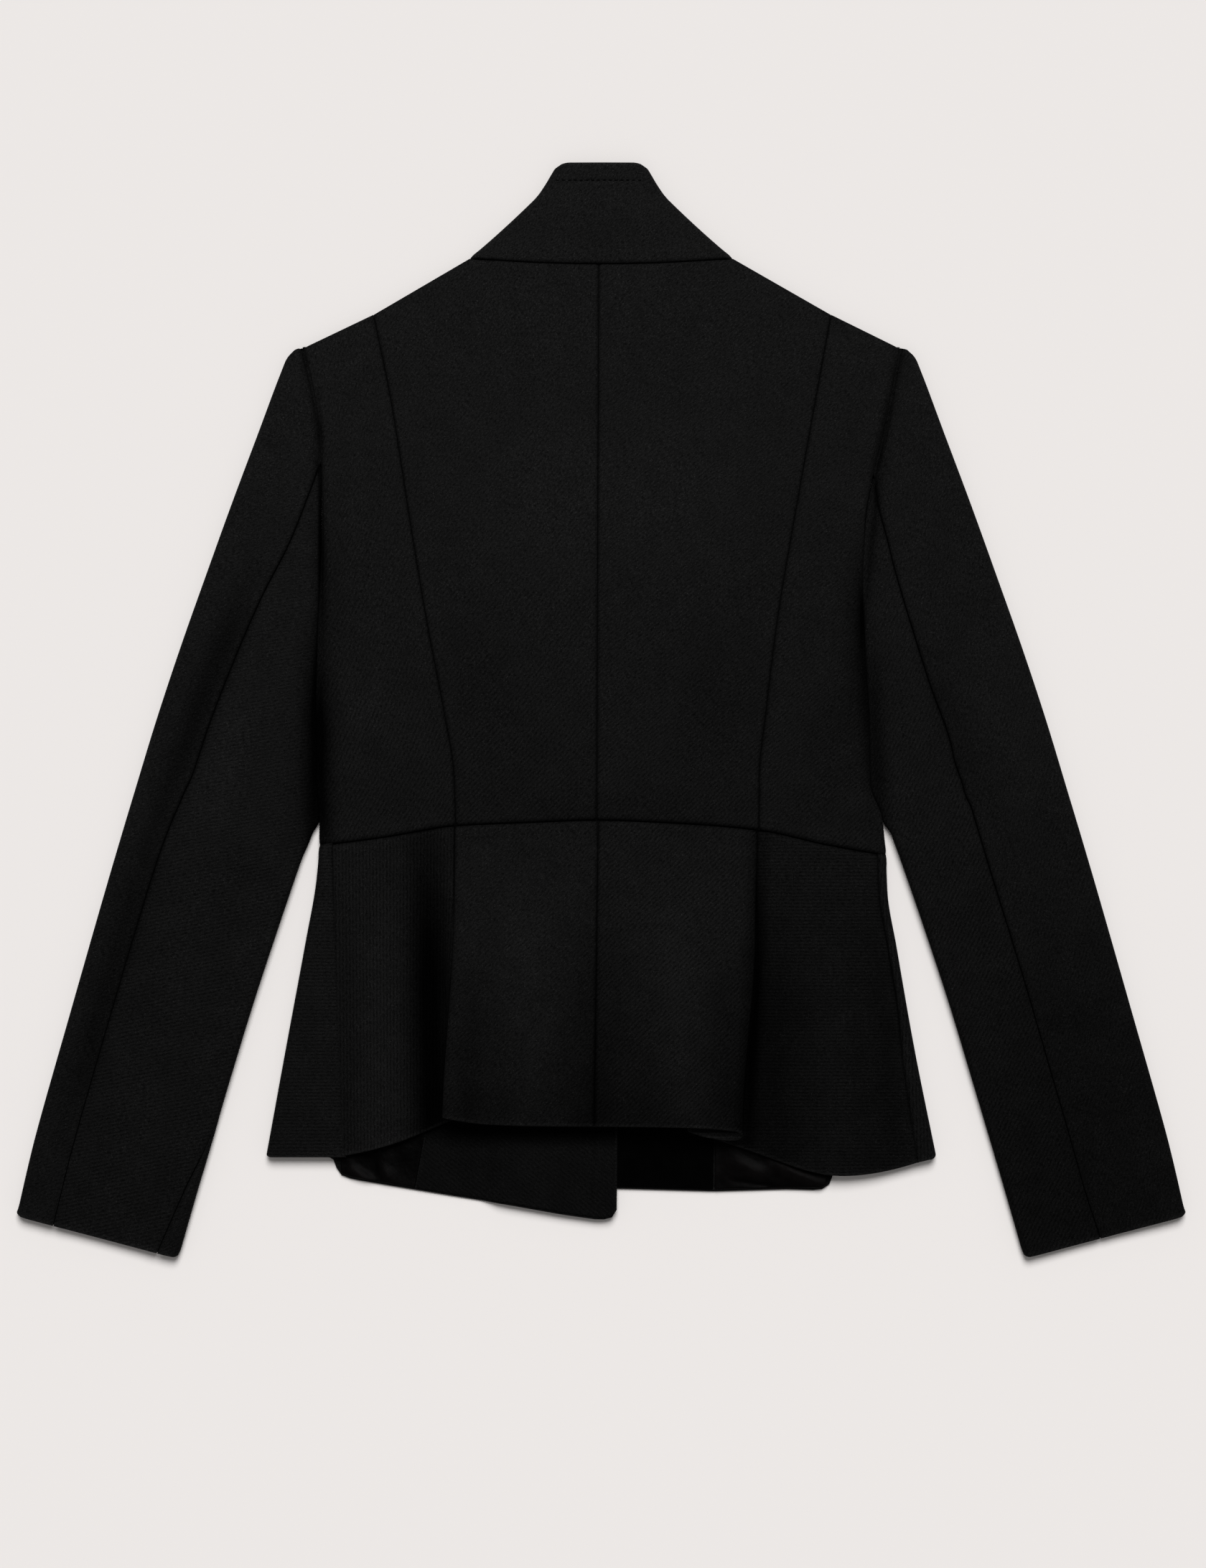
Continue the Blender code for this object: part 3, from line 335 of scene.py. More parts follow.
        def end(place: Grid) -> Grid:
            """Give the y of the row.

            Args:
                place: Points of the row.

            Returns:
                Their y on the seam.
            """
            x = place[..., 0]
            under = place[..., 2] < self.under_limit
            return np.where(under, side_y + (x - side_x) * slope, self.waist.at(x)) + offset

        return end

    def shoulder_nearness(self, x: Grid, y: Grid) -> Grid:
        """Tell how near the shoulder seam is.

        Args:
            x: Places across.
            y: Places along.

        Returns:
            1 on the seam, 0 away from it or under the collar.
        """
        slope = (self.neck_y - self.shoulder_y) / (self.shoulder_x - self.neck_half)
        line = self.neck_y - slope * (np.abs(x) - self.neck_half)
        away = np.clip((line - y) / math.hypot(1.0, slope) / self.shoulder_reach, 0.0, 1.0)
        cover = ease((np.abs(x) - self.shoulder_cover) / self.shoulder_fade)
        return cover * (1.0 - np.sin(QUARTER * away))

    def back_height(self, x: Grid, y: Grid) -> Grid:
        """Height of the outside of the back over the floor."""
        full = self.height + self.dome * np.exp(-(((y - self.dome_y) / self.dome_reach) ** 2))
        return full - self.shoulder_nearness(x, y) * (full - self.shoulder_edge)

    def line(self, kind: BodyLine, hand: Hand, offset: float = 0.0) -> Path:
        """Return one line of the body from the waist seam to the shoulder or neck.

        Args:
            kind: Which line.
            hand: Side of the coat.
            offset: Shift along X.

        Returns:
            A function from the share of the way to x and y.
        """
        half = 0.5 * self.seam_gap

        def follow(along: Grid) -> tuple:
            """Follow the line.

            Args:
                along: Share of the way.

            Returns:
                The x and y there.
            """
            if kind is BodyLine.EDGE:
                low = self.waist.at(self.edge_x(np.array(self.side_waist_y), hand)) + half
                y = low + along * (self.shoulder_y - low)
                inward = -hand.value * self.edge_roll.at(y)
                return self.edge_x(y, hand) + inward + offset, y
            if kind is BodyLine.PRINCESS:
                table = hand.pick(self.princess_left, self.princess_right)
                low = self.waist.at(np.array(table.values[0])) + half
                y = low + along * (self.princess_y - low)
                return table.at(y) + offset, y
            low_x, high_x = self.centre_x, self.centre_x + self.centre_lean
            high = self.neck_y - self.neck_sag - half
            if kind is BodyLine.NECK:
                low_x, high_x = hand.value * self.neck_line_x, hand.value * self.neck_half
                high = self.neck_y - half
            low = self.waist.at(np.array(low_x)) + half
            return low_x + along * (high_x - low_x) + offset, low + along * (high - low)

        return follow

    def back(self, hand: Hand) -> Surface:
        """Return the centre back panel.

        Args:
            hand: Side of the coat.

        Returns:
            The surface; across runs from the princess seam (0) to the centre seam (2).
        """
        half = 0.5 * self.seam_gap
        lines = [
            self.line(BodyLine.PRINCESS, hand, -hand.value * half),
            self.line(BodyLine.NECK, hand),
            self.line(BodyLine.CENTRE, hand, hand.value * half),
        ]

        def surface(across: Grid, along: Grid) -> Grid:
            """Evaluate the panel.

            Args:
                across: Place across the panel.
                along: Share of the way along it.

            Returns:
                The points.
            """
            x, y = ruled(lines, across, along)
            return points(x, y, self.back_height(x, y))

        return fitted(surface, self.waist_end(hand, 0.5 * self.waist_gap), self.neck_end(self.back_neck))

    def side_back(self, hand: Hand) -> Surface:
        """Return the side back.

        Args:
            hand: Side of the coat.

        Returns:
            The surface; across runs from the princess seam (0) to the edge roll (1 to 2).
        """
        half = hand.value * 0.5 * self.seam_gap
        lines = [self.line(BodyLine.PRINCESS, hand, half), self.line(BodyLine.EDGE, hand)]

        def surface(across: Grid, along: Grid) -> Grid:
            """Evaluate the panel.

            Args:
                across: Place across the panel.
                along: Share of the way along it.

            Returns:
                The points.
            """
            x, y = ruled(lines, np.minimum(across, 1.0), along)
            flat_x, flat_y = lines[1](along)
            radius = self.edge_roll.at(flat_y)
            angle = np.maximum(across - 1.0, 0.0) * QUARTER
            top = self.back_height(np.where(across > 1.0, flat_x, x), y)
            x = x + hand.value * radius * np.sin(angle)
            return points(x, y, top - radius * (1.0 - np.cos(angle)))

        return fitted(surface, self.waist_end(hand, 0.5 * self.waist_gap))

    def under_level(self, hand: Hand, x: Grid, y: Grid) -> Grid:
        """Find the height of the underside of a front.

        Args:
            hand: Side of the coat.
            x: Places across.
            y: Places along.

        Returns:
            The height; the left front is lifted where it laps the right one.
        """
        if hand is Hand.RIGHT:
            return np.zeros_like(x)
        facing = (self.facing_wall + self.lay_gap) * ease((self.facing_lift_y - y) / self.facing_lift_reach)
        ramp = (x - self.right_front_edge + self.overlap_ramp + self.lay_clear) / self.overlap_ramp
        return (self.wall + self.lay_gap + facing) * ease(ramp)

    def upright(self, low_x: float, high_x: float) -> Path:
        """Return a straight line of a front.

        Args:
            low_x: Its x on the waist seam.
            high_x: Its x on the neckline.

        Returns:
            A function from the share of the way to x and y.
        """

        def follow(along: Grid) -> tuple:
            """Follow the line.

            Args:
                along: Share of the way.

            Returns:
                The x and y there.
            """
            low = self.waist.at(np.array(low_x)) + 0.5 * self.seam_gap
            high = self.front_neck(np.array(high_x)) - 0.5 * self.seam_gap
            return low_x + along * (high_x - low_x), low + along * (high - low)

        return follow

    def front(self, hand: Hand) -> tuple:
        """Return a front under the back.

        Args:
            hand: Side of the coat.

        Returns:
            The surface and its last column; across runs from the edge roll (-1 to 0) to the front edge.
        """
        out = hand.value
        edge = hand.pick(self.left_front_edge, self.right_front_edge)
        lines = [
            self.line(BodyLine.EDGE, hand),
            self.line(BodyLine.PRINCESS, hand),
            self.line(BodyLine.NECK, hand),
            self.upright(out * self.front_outer_x, out * self.front_neck_x[2]),
            self.upright(out * self.front_inner_x, out * self.front_neck_x[1]),
            self.upright(0.0, 0.0),
            self.upright(edge, edge),
        ]
        if hand is Hand.RIGHT:
            lines.insert(-1, self.upright(-self.front_outer_x, -self.front_outer_x))

        def surface(across: Grid, along: Grid) -> Grid:
            """Evaluate the front.

            Args:
                across: Place across the panel.
                along: Share of the way along it.

            Returns:
                The points.
            """
            x, y = ruled(lines, np.maximum(across, 0.0), along)
            radius = self.edge_roll.at(lines[0](along)[1])
            angle = np.maximum(-across, 0.0) * QUARTER
            x = x + out * radius * np.sin(angle)
            tip = ease((self.shoulder_tip - np.abs(x)) / self.shoulder_fade)
            lift = self.shoulder_lift * self.shoulder_nearness(x, y) * tip
            return points(x, y, self.under_level(hand, x, y) + lift + radius * (1.0 - np.cos(angle)))

        ends = self.waist_end(hand, 0.5 * self.waist_gap), self.neck_end(self.front_neck)
        return fitted(surface, *ends), float(len(lines) - 1)


class SleeveSeams(NamedTuple):
    """Where a sleeve's seams run, as shares of its width from the outer edge, and the row of their tip."""

    hind: Line
    fore: Line
    tip: float


@dataclass(frozen=True)
class SleeveForm:
    """Form of the two-piece sleeves: a flattened ring in six runs, by row from cuff to shoulder."""

    body: BodyForm
    sag: float = 0.6
    sag_width: float = 40.0
    sag_reach: float = 50.0
    seam_gap: float = 0.6
    armhole_y: float = -83.0
    armhole_reach: float = 11.0
    armhole_gap: Line = Line((-400.0, 80.0, 130.0, 400.0), (-0.8, -0.8, -0.4, -0.4))
    cap_round: float = 1.4
    cuff_round: float = 2.2
    cuff_corner: float = 1.8
    cuff_rows: float = 0.15
    last_row: float = 12.0
    ring_runs: float = 6.0
    edge_run: float = 3.0
    under_run: float = 4.0
    top_run: float = 7.0
    tip_rows: float = 0.12
    under_split: float = 0.96
    outer_x: tuple = (
        391.4, 380.9, 354.0, 326.4, 312.0, 297.4, 281.5, 264.5, 247.2, 229.2, 216.7, 211.6, 208.8,
    )
    outer_y: tuple = (
        -338.0, -292.8, -196.8, -100.8, -52.8, -4.8, 43.2, 91.2, 139.2, 187.2, 220.8, 233.4, 238.4,
    )
    inner_y: tuple = (
        -366.6, -320.5, -226.0, -132.5, -90.0, -48.0, 2.0, 54.0, 104.0, 164.0, 208.0, 230.5, 242.6,
    )
    height: tuple = (8.3, 8.5, 8.6, 8.6, 8.6, 8.6, 8.6, 8.6, 8.6, 8.6, 8.5, 8.2, 7.6)
    roll: tuple = (4.15, 4.25, 4.3, 4.3, 4.3, 4.3, 3.9, 3.2, 2.4, 2.0, 1.8, 1.8, 1.7)
    free_y: tuple = (-367.0, -340.8, -292.8, -244.8, -196.8, -148.8, -100.8, -78.0, -60.0, -30.0, 5.0)
    free_left: tuple = (
        -283.2, -275.8, -261.9, -247.7, -233.0, -217.2, -200.8, -192.4, -191.6, -193.2, -192.2,
    )
    free_right: tuple = (283.2, 275.8, 261.8, 247.5, 233.0, 217.2, 200.6, 192.4, 186.6, 181.2, 180.2)
    left: SleeveSeams = SleeveSeams(
        Line(
            (0.0, 1.6, 3.0, 5.0, 6.0, 7.0, 8.0, 8.4, 9.0),
            (0.23, 0.23, 0.235, 0.30, 0.37, 0.48, 0.67, 0.77, 0.97),
        ),
        Line((0.0, 1.0, 1.6, 9.0), (0.87, 0.93, 1.0, 1.0)),
        8.92,
    )
    right: SleeveSeams = SleeveSeams(
        Line(
            (0.0, 1.0, 3.0, 5.0, 6.0, 7.0, 8.0, 8.4, 8.8, 9.0),
            (0.53, 0.55, 0.547, 0.53, 0.6, 0.675, 0.765, 0.845, 0.95, 0.97),
        ),
        Line((0.0, 9.0), (1.0, 1.0)),
        8.78,
    )

    def seams(self, hand: Hand) -> SleeveSeams:
        """Seams of one sleeve."""
        return hand.pick(self.left, self.right)

    def row(self, values: tuple, along: Grid) -> Grid:
        """Read one row of sizes at a row number."""
        return Line(tuple(range(len(values))), values).at(along)

    def ends(self, hand: Hand, along: Grid) -> tuple:
        """Find the two edges of the sleeve as it lies.

        Args:
            hand: Side of the coat.
            along: Row number.

        Returns:
            Outer x and y, inner x and y, width, outer roll and inner roll.
        """
        outer_x = hand.value * self.row(self.outer_x, along)
        outer_y = self.row(self.outer_y, along)
        inner_y = self.row(self.inner_y, along)
        free = Line(self.free_y, hand.pick(self.free_left, self.free_right)).at(inner_y)
        armhole = self.body.edge_x(inner_y, hand) + hand.value * self.armhole_gap.at(inner_y)
        inner_x = free + ease((inner_y - self.armhole_y) / self.armhole_reach) * (armhole - free)
        width = np.hypot(inner_x - outer_x, inner_y - outer_y)
        outer_roll = 0.5 * self.row(self.height, along)
        inner_roll = np.minimum(self.row(self.roll, along), outer_roll)
        return outer_x, outer_y, inner_x, inner_y, width, outer_roll, inner_roll

    def ring(self, hand: Hand) -> Surface:
        """Return the whole sleeve.

        Args:
            hand: Side of the coat.

        Returns:
            The surface: outer edge to top (0-1), top, inner edge (2-4), underside, outer edge (5-6).
        """

        def surface(around: Grid, along: Grid) -> Grid:
            """Evaluate the ring.

            Args:
                around: Place, counted in runs.
                along: Row number.

            Returns:
                The points.
            """
            outer_x, outer_y, inner_x, inner_y, width, outer_roll, inner_roll = self.ends(hand, along)
            tall = 2.0 * outer_roll
            turn = np.mod(around, self.ring_runs)
            run = np.floor(turn).astype(int)
            share = turn - run
            rise = np.sin(share * QUARTER)
            fall = np.cos(share * QUARTER)
            flat = width - outer_roll - inner_roll
            sag = self.sag * np.sin(math.pi * share) ** 2 * ease((width - self.sag_width) / self.sag_reach)
            runs = [run == number for number in range(int(self.ring_runs))]
            reach = np.select(
                runs,
                [
                    outer_roll * (1.0 - fall),
                    outer_roll + share * flat,
                    width - inner_roll * (1.0 - rise),
                    width - inner_roll * (1.0 - fall),
                    width - inner_roll - share * flat,
                    outer_roll * (1.0 - rise),
                ],
            )
            z = np.select(
                runs,
                [
                    outer_roll * (1.0 + rise),
                    tall - sag,
                    tall - inner_roll * (1.0 - fall),
                    inner_roll * (1.0 - rise),
                    0.0 * tall,
                    outer_roll * (1.0 - fall),
                ],
            )
            x = outer_x + (inner_x - outer_x) * reach / width
            y = outer_y + (inner_y - outer_y) * reach / width
            rounded = self.cap_round * ease(along - self.last_row + 1.0) * np.sin(math.pi * reach / width)
            near = np.exp(-reach / self.cuff_corner) + np.exp((reach - width) / self.cuff_corner)
            rounded = rounded + self.cuff_round * near * ease(1.0 - along / self.cuff_rows)
            return points(x, y + rounded, z)

        return surface

    def turn(self, hand: Hand, seam: Line, along: Grid, offset: float) -> Grid:
        """Place a seam on the ring.

        Args:
            hand: Side of the coat.
            seam: Share of the width by row.
            along: Row number.
            offset: Shift along the cloth.

        Returns:
            Its place, counted in runs.
        """
        share = np.where(along > seam.knots[-1], seam.values[-1], seam.at(along))
        width, outer_roll, inner_roll = self.ends(hand, along)[4:]
        on_flat = 1.0 + (share * width - outer_roll + offset) / (width - outer_roll - inner_roll)
        past = np.clip((share * width - width + inner_roll) / inner_roll, 0.0, 1.0)
        on_edge = 2.0 + (np.arcsin(past) + offset / inner_roll) / QUARTER
        return np.where(on_flat <= 2.0, on_flat, on_edge)

    def upper(self, hand: Hand) -> Surface:
        """Return the upper sleeve.

        Args:
            hand: Side of the coat.

        Returns:
            The surface, from its fore seam under the arm round the outer edge to its hind seam.
        """
        ring = self.ring(hand)
        half = 0.5 * self.seam_gap
        seams = self.seams(hand)

        def surface(across: Grid, along: Grid) -> Grid:
            """Evaluate the upper sleeve.

            Args:
                across: Place across the panel.
                along: Row number.

            Returns:
                The points.
            """
            start = self.turn(hand, seams.fore, along, half)
            tied = self.turn(hand, seams.hind, along, -half)
            tip = ease((along - seams.tip) / self.tip_rows)
            stop = self.ring_runs + tied + tip * (self.edge_run - tied)
            first = start + across * (self.under_run - start)
            top = self.top_run - self.edge_run
            final = self.top_run + (across - top) * (stop - self.top_run)
            later = np.where(across < top, self.edge_run + across, final)
            return ring(np.where(across < 1.0, first, later), along)

        return surface

    def under(self, hand: Hand) -> Surface:
        """Return the under sleeve.

        Args:
            hand: Side of the coat.

        Returns:
            The surface, from its hind seam to its fore seam.
        """
        ring = self.ring(hand)
        half = 0.5 * self.seam_gap
        seams = self.seams(hand)

        def surface(across: Grid, along: Grid) -> Grid:
            """Evaluate the under sleeve.

            Args:
                across: Place across the panel.
                along: Row number.

            Returns:
                The points.
            """
            start = self.turn(hand, seams.hind, along, half)
            stop = self.turn(hand, seams.fore, along, -half)
            split = np.minimum(2.0, start + self.under_split * (stop - start))
            flat = start + across * (split - start)
            return ring(np.where(across < 1.0, flat, split + (across - 1.0) * (stop - split)), along)

        return surface


@dataclass(frozen=True)
class CollarForm:
    """Form of the stand collar: the back shows, both ends fold under and lap at the front."""

    body: BodyForm
    wall: float = 2.6
    top_y: float = 366.6
    base_height: float = 8.9
    top_height: float = 8.7
    crown: float = 0.5
    lap: float = 22.0
    top_lap: float = -2.0
    lap_share: float = 0.4
    corner: float = 3.6
    corner_from: float = 21.0
    corner_reach: float = 10.0
    dip: float = 16.0
    dip_half: float = 30.0
    half_width: Line = Line(
        (302.8, 321.6, 340.8, 346.4, 355.2, 362.0, 366.6),
        (87.9, 67.7, 48.4, 43.2, 37.4, 33.6, 31.0),
    )

    def surface(self, across: Grid, along: Grid) -> Grid:
        """Evaluate the collar.

        Args:
            across: Left end (0-1), left fold (1-2), back (2-3), right fold (3-4), right end (4-5).
            along: Share of the way from the neck seam to the top.

        Returns:
            The points.
        """
        body = self.body
        base = body.neck_y + 0.5 * body.seam_gap
        wide = self.half_width.at(base + along * (self.top_y - base))
        tall = self.base_height + along * (self.top_height - self.base_height)
        radius = 0.5 * tall
        run = np.clip(np.floor(across).astype(int), 0, 4)
        share = across - run
        bend = share * math.pi
        flat = wide - radius
        lap = self.lap + (self.top_lap - self.lap) * along
        runs = [run == number for number in range(5)]
        out = radius * np.sin(bend)
        left_end = lap - share * (flat + lap)
        right_end = flat - share * (lap + flat)
        x = np.select(runs, [left_end, -flat - out, flat * (2.0 * share - 1.0), flat + out, right_end])
        over = (self.wall + body.lay_gap) * ease((1.0 - share) / self.lap_share)
        crown = self.crown * np.sin(math.pi * share)
        turned = radius * (1.0 - np.cos(bend))
        z = np.select(runs, [over, turned, tall + crown, tall - turned, 0.0 * tall])
        fold = 0.5 + 0.5 * np.cos(bend)
        whole = 1.0 + 0.0 * share
        under = np.select(runs, [whole, fold, 0.0 * share, 1.0 - fold, whole])
        low_x = np.clip(x * body.neck_half / wide, -body.neck_half, body.neck_half)
        back = body.back_neck(low_x)
        low = back + under * (body.front_neck(low_x) - back) + 0.5 * body.seam_gap
        high = self.top_y - under * self.dip * (1.0 - np.clip(np.abs(x) / self.dip_half, 0.0, 1.0) ** 2)
        past = np.clip((np.abs(x) - self.corner_from) / self.corner_reach, 0.0, 1.0)
        high = high - self.corner * past**2
        return points(x, low + along * (high - low), z)


class PeplumLine(NamedTuple):
    """A line that runs down the peplum from waist to hem; a flute is a run of lines that doubles back."""

    name: str
    waist_x: float
    open_x: float
    open_z: float
    hem_x: float
    hem_y: float
    hem_z: float


class UnderHem(NamedTuple):
    """A column of an under layer, from the side edge to the front edge."""

    waist_x: float
    hem_x: float
    hem_y: float


@dataclass(frozen=True)
class PeplumForm:
    """Form of the peplum: back and side panels with two flutes, and the fronts that turn under."""

    body: BodyForm
    wall: float = 1.8
    edge_height: float = 9.0
    flute_rise: float = 0.5
    flute_fold: float = 0.33
    right_seam_inset: Line = Line((0.0, 0.45, 0.7, 1.0), (5.8, 5.8, 9.0, 12.0))
    edge_waist_x: float = 189.0
    edge_under_waist_x: float = 182.6
    edge_under_hem_x: float = 218.0
    edge_hem_y: float = -297.6
    corners: tuple = (1.0, 2.6)
    first_column: float = 4.0
    edge_left: Line = Line((0.0, 0.12, 0.30, 0.65, 1.0), (-188.6, -191.0, -197.6, -211.0, -224.2))
    edge_right: Line = Line((0.0, 0.12, 0.30, 0.65, 1.0), (190.7, 191.6, 197.6, 210.0, 224.2))
    lines: tuple = (
        PeplumLine("left seam", -180.2, -177.0, 9.0, -177.0, -298.6, 9.0),
        PeplumLine("left hump", -151.0, -152.0, 11.0, -152.0, -294.0, 11.4),
        PeplumLine("left slope", -126.0, -128.0, 10.0, -122.0, -284.0, 10.4),
        PeplumLine("left valley", -112.0, -115.0, 9.8, -102.0, -274.5, 9.4),
        PeplumLine("left turn", -108.0, -111.0, 11.6, -91.0, -270.5, 12.2),
        PeplumLine("left return", -104.4, -107.5, 14.0, -97.6, -270.5, 15.4),
        PeplumLine("left under", -101.2, -104.4, 16.6, -104.7, -270.6, 16.7),
        PeplumLine("left fold", -98.0, -101.3, 19.4, -107.0, -271.0, 20.2),
        PeplumLine("left over", -94.8, -98.0, 22.2, -104.7, -271.6, 23.7),
        PeplumLine("left crest", -90.6, -93.6, 24.4, -97.6, -272.6, 25.0),
        PeplumLine("left top", -74.0, -78.0, 24.8, -78.0, -276.4, 24.8),
        PeplumLine("centre", -3.1, -3.6, 23.6, -3.6, -277.2, 23.6),
        PeplumLine("right top", 74.0, 64.0, 24.8, 64.0, -277.4, 24.8),
        PeplumLine("right crest", 96.0, 95.0, 25.2, 85.6, -279.6, 25.6),
        PeplumLine("right over", 101.6, 100.6, 23.6, 93.7, -281.0, 24.7),
        PeplumLine("right fold", 104.6, 104.2, 21.2, 96.0, -283.4, 21.2),
        PeplumLine("right under", 106.4, 106.0, 18.9, 93.7, -286.0, 17.7),
        PeplumLine("right return", 108.0, 107.6, 16.7, 84.0, -287.0, 16.4),
        PeplumLine("right inner", 109.6, 109.0, 14.5, 66.0, -284.0, 15.8),
        PeplumLine("right turn", 111.4, 110.6, 12.3, 54.5, -279.4, 12.6),
        PeplumLine("right valley", 113.8, 113.0, 10.4, 66.0, -282.4, 9.4),
        PeplumLine("right out", 118.0, 117.0, 9.2, 88.0, -290.8, 9.0),
        PeplumLine("right slope", 129.0, 130.0, 9.8, 114.0, -299.6, 9.8),
        PeplumLine("right hump", 151.0, 156.0, 11.4, 152.0, -313.6, 11.8),
        PeplumLine("right flat", 172.0, 192.0, 10.0, 192.0, -308.4, 10.2),
        PeplumLine("right seam", 182.2, 215.6, 9.0, 215.6, -302.0, 9.0),
    )
    hem_left: tuple = (
        UnderHem(-176.0, -195.0, -297.4),
        UnderHem(-166.0, -180.4, -298.4),
        UnderHem(-162.0, -177.6, -306.0),
        UnderHem(-158.0, -174.2, -311.0),
        UnderHem(-152.0, -167.0, -313.8),
        UnderHem(-126.0, -139.6, -318.4),
        UnderHem(-96.0, -95.6, -325.6),
        UnderHem(-62.0, -62.0, -330.8),
        UnderHem(-26.0, -26.0, -337.2),
        UnderHem(0.0, -2.0, -340.6),
        UnderHem(8.0, 6.4, -340.2),
        UnderHem(12.5, 10.4, -334.0),
    )
    hem_right: tuple = (
        UnderHem(176.0, 190.0, -299.0),
        UnderHem(152.0, 157.6, -303.0),
        UnderHem(148.0, 155.0, -312.0),
        UnderHem(144.0, 152.4, -318.4),
        UnderHem(138.0, 146.6, -321.2),
        UnderHem(122.0, 124.0, -320.6),
        UnderHem(78.0, 75.6, -322.0),
        UnderHem(12.0, 12.0, -320.2),
        UnderHem(-60.0, -60.0, -317.6),
    )

    def number(self, name: str) -> float:
        """Number of a named line."""
        return float([line.name for line in self.lines].index(name))

    def column(self, name: str, like: Grid) -> Grid:
        """One size of all lines, shaped to go with an array of places."""
        values = np.array([getattr(line, name) for line in self.lines], dtype=float)
        return values.reshape((-1,) + (1,) * like.ndim)

    def edge(self, along: Grid, hand: Hand) -> Grid:
        """Side edge of the peplum at a share of the way down."""
        return hand.pick(self.edge_left, self.edge_right).at(along)

    def sections(self, along: Grid) -> Grid:
        """Find the points of all lines at a share of the way from waist to hem.

        Args:
            along: Share of the way.

        Returns:
            Points with the lines along the first axis.
        """
        half = 0.5 * self.body.seam_gap
        waist_x = self.column("waist_x", along)
        high_y = self.body.waist.at(waist_x)
        high_z = self.body.back_height(waist_x, high_y)
        share = along[None, ...]
        open_x = self.column("open_x", along)
        open_z = self.column("open_z", along)
        folded = ease((share - self.flute_fold) / (1.0 - self.flute_fold))
        x = waist_x + share * (open_x - waist_x) + folded * (self.column("hem_x", along) - open_x)
        x[-1] = self.edge(along, Hand.RIGHT) - self.right_seam_inset.at(along)
        y = high_y - half + share * (self.column("hem_y", along) - high_y + half)
        z = high_z + ease(share / self.flute_rise) * (open_z - high_z)
        return points(x, y, z + folded * (self.column("hem_z", along) - open_z))

    def spread(self, across: Grid, along: Grid) -> Grid:
        """Follow soft sections through the lines.

        Args:
            across: Place between the lines, counted in lines.
            along: Share of the way from waist to hem.

        Returns:
            The points.
        """
        rows = self.sections(along)
        last = rows.shape[0] - 1
        index = np.clip(np.floor(across).astype(int), 0, last - 1)
        share = (across - index)[..., None]

        def row(offset: int) -> Grid:
            """Take the row some lines on.

            Args:
                offset: How many lines on.

            Returns:
                Its points, carried past the ends.
            """
            place = index + offset
            inner = np.take_along_axis(rows, np.clip(place, 0, last)[None, ..., None], axis=0)[0]
            inner = np.where((place < 0)[..., None], 2.0 * rows[0] - rows[1], inner)
            return np.where((place > last)[..., None], 2.0 * rows[last] - rows[last - 1], inner)

        curve = (1.0 - share) ** 3 * row(-1) + (3.0 * share**3 - 6.0 * share**2 + 4.0) * row(0)
        curve = curve + (3.0 * share - 3.0 * share**3 + 3.0 * share**2 + 1.0) * row(1)
        return (curve + share**3 * row(2)) / 6.0

    def top(self) -> Surface:
        """Return the back and side panels as one surface, sewn to the waist seam."""
        return fitted(self.spread, self.body.waist_end(Hand.LEFT, -0.5 * self.body.waist_gap))

    def front(self, hand: Hand) -> Surface:
        """Return a front.

        Args:
            hand: Side of the coat.

        Returns:
            The surface: on top from its seam (0) to the edge (1-3), then one for each under column.
        """
        body = self.body
        half = 0.5 * body.seam_gap
        out = hand.value
        seam = hand.pick(self.lines[0], self.lines[-1])
        hem = hand.pick(self.hem_left, self.hem_right)
        start = UnderHem(out * self.edge_under_waist_x, out * self.edge_under_hem_x, self.edge_hem_y)
        low_x, end_x, end_y = np.array((start,) + hem, dtype=float).T

        def surface(across: Grid, along: Grid) -> Grid:
            """Evaluate the front.

            Args:
                across: Place across the panel.
                along: Share of the way along it.

            Returns:
                The points.
            """
            edge = self.edge(along, hand)
            seam_x = self.sections(along)[hand.pick(0, -1)][..., 0] + out * half
            high = body.waist.at(np.full_like(along, out * self.edge_waist_x)) - half
            waist_z = body.back_height(np.full_like(along, seam.waist_x), high)
            rise = ease(along / self.flute_rise)
            tall = waist_z + rise * (self.edge_height - waist_z)
            radius = 0.5 * tall
            flat_x = edge - out * radius
            bend = np.clip(across - 1.0, 0.0, 2.0) * QUARTER
            over = np.minimum(across, 1.0)
            seam_y = body.waist.at(np.full_like(along, seam.waist_x)) - half
            start_y = seam_y + along * (seam.hem_y - seam_y)
            corner = hand.pick(*self.corners) * np.clip(np.cos(bend), 0.0, 1.0)
            edge_y = high + along * (self.edge_hem_y - corner - high)
            x = seam_x + over * (flat_x - seam_x) + out * radius * np.sin(bend)
            y = start_y + over * (edge_y - start_y)
            seam_z = waist_z + rise * (seam.hem_z - waist_z)
            z = radius * (1.0 + np.cos(bend)) + (1.0 - over) * (seam_z - tall)
            number = np.clip(np.floor(across - 3.0).astype(int), 0, len(hem) - 1)
            share = np.clip(across - 3.0 - number, 0.0, 2.0)
            to_waist = low_x[number] + share * (low_x[number + 1] - low_x[number])
            to_hem = end_x[number] + share * (end_x[number + 1] - end_x[number])
            to_hem_y = end_y[number] + share * (end_y[number + 1] - end_y[number])
            under_x = to_waist + along * (to_hem - to_waist)
            under_x = np.where(number == 0, flat_x + share * (under_x - flat_x), under_x)
            under_high = body.waist.at(to_waist) - half
            under_y = under_high + along * (to_hem_y - under_high)
            below = across > 3.0
            level = body.under_level(hand, under_x, under_y)
            x = np.where(below, under_x, x)
            y = np.where(below, under_y, y)
            return points(x, y, np.where(below, level, z))

        return fitted(surface, body.waist_end(hand, -0.5 * body.waist_gap))


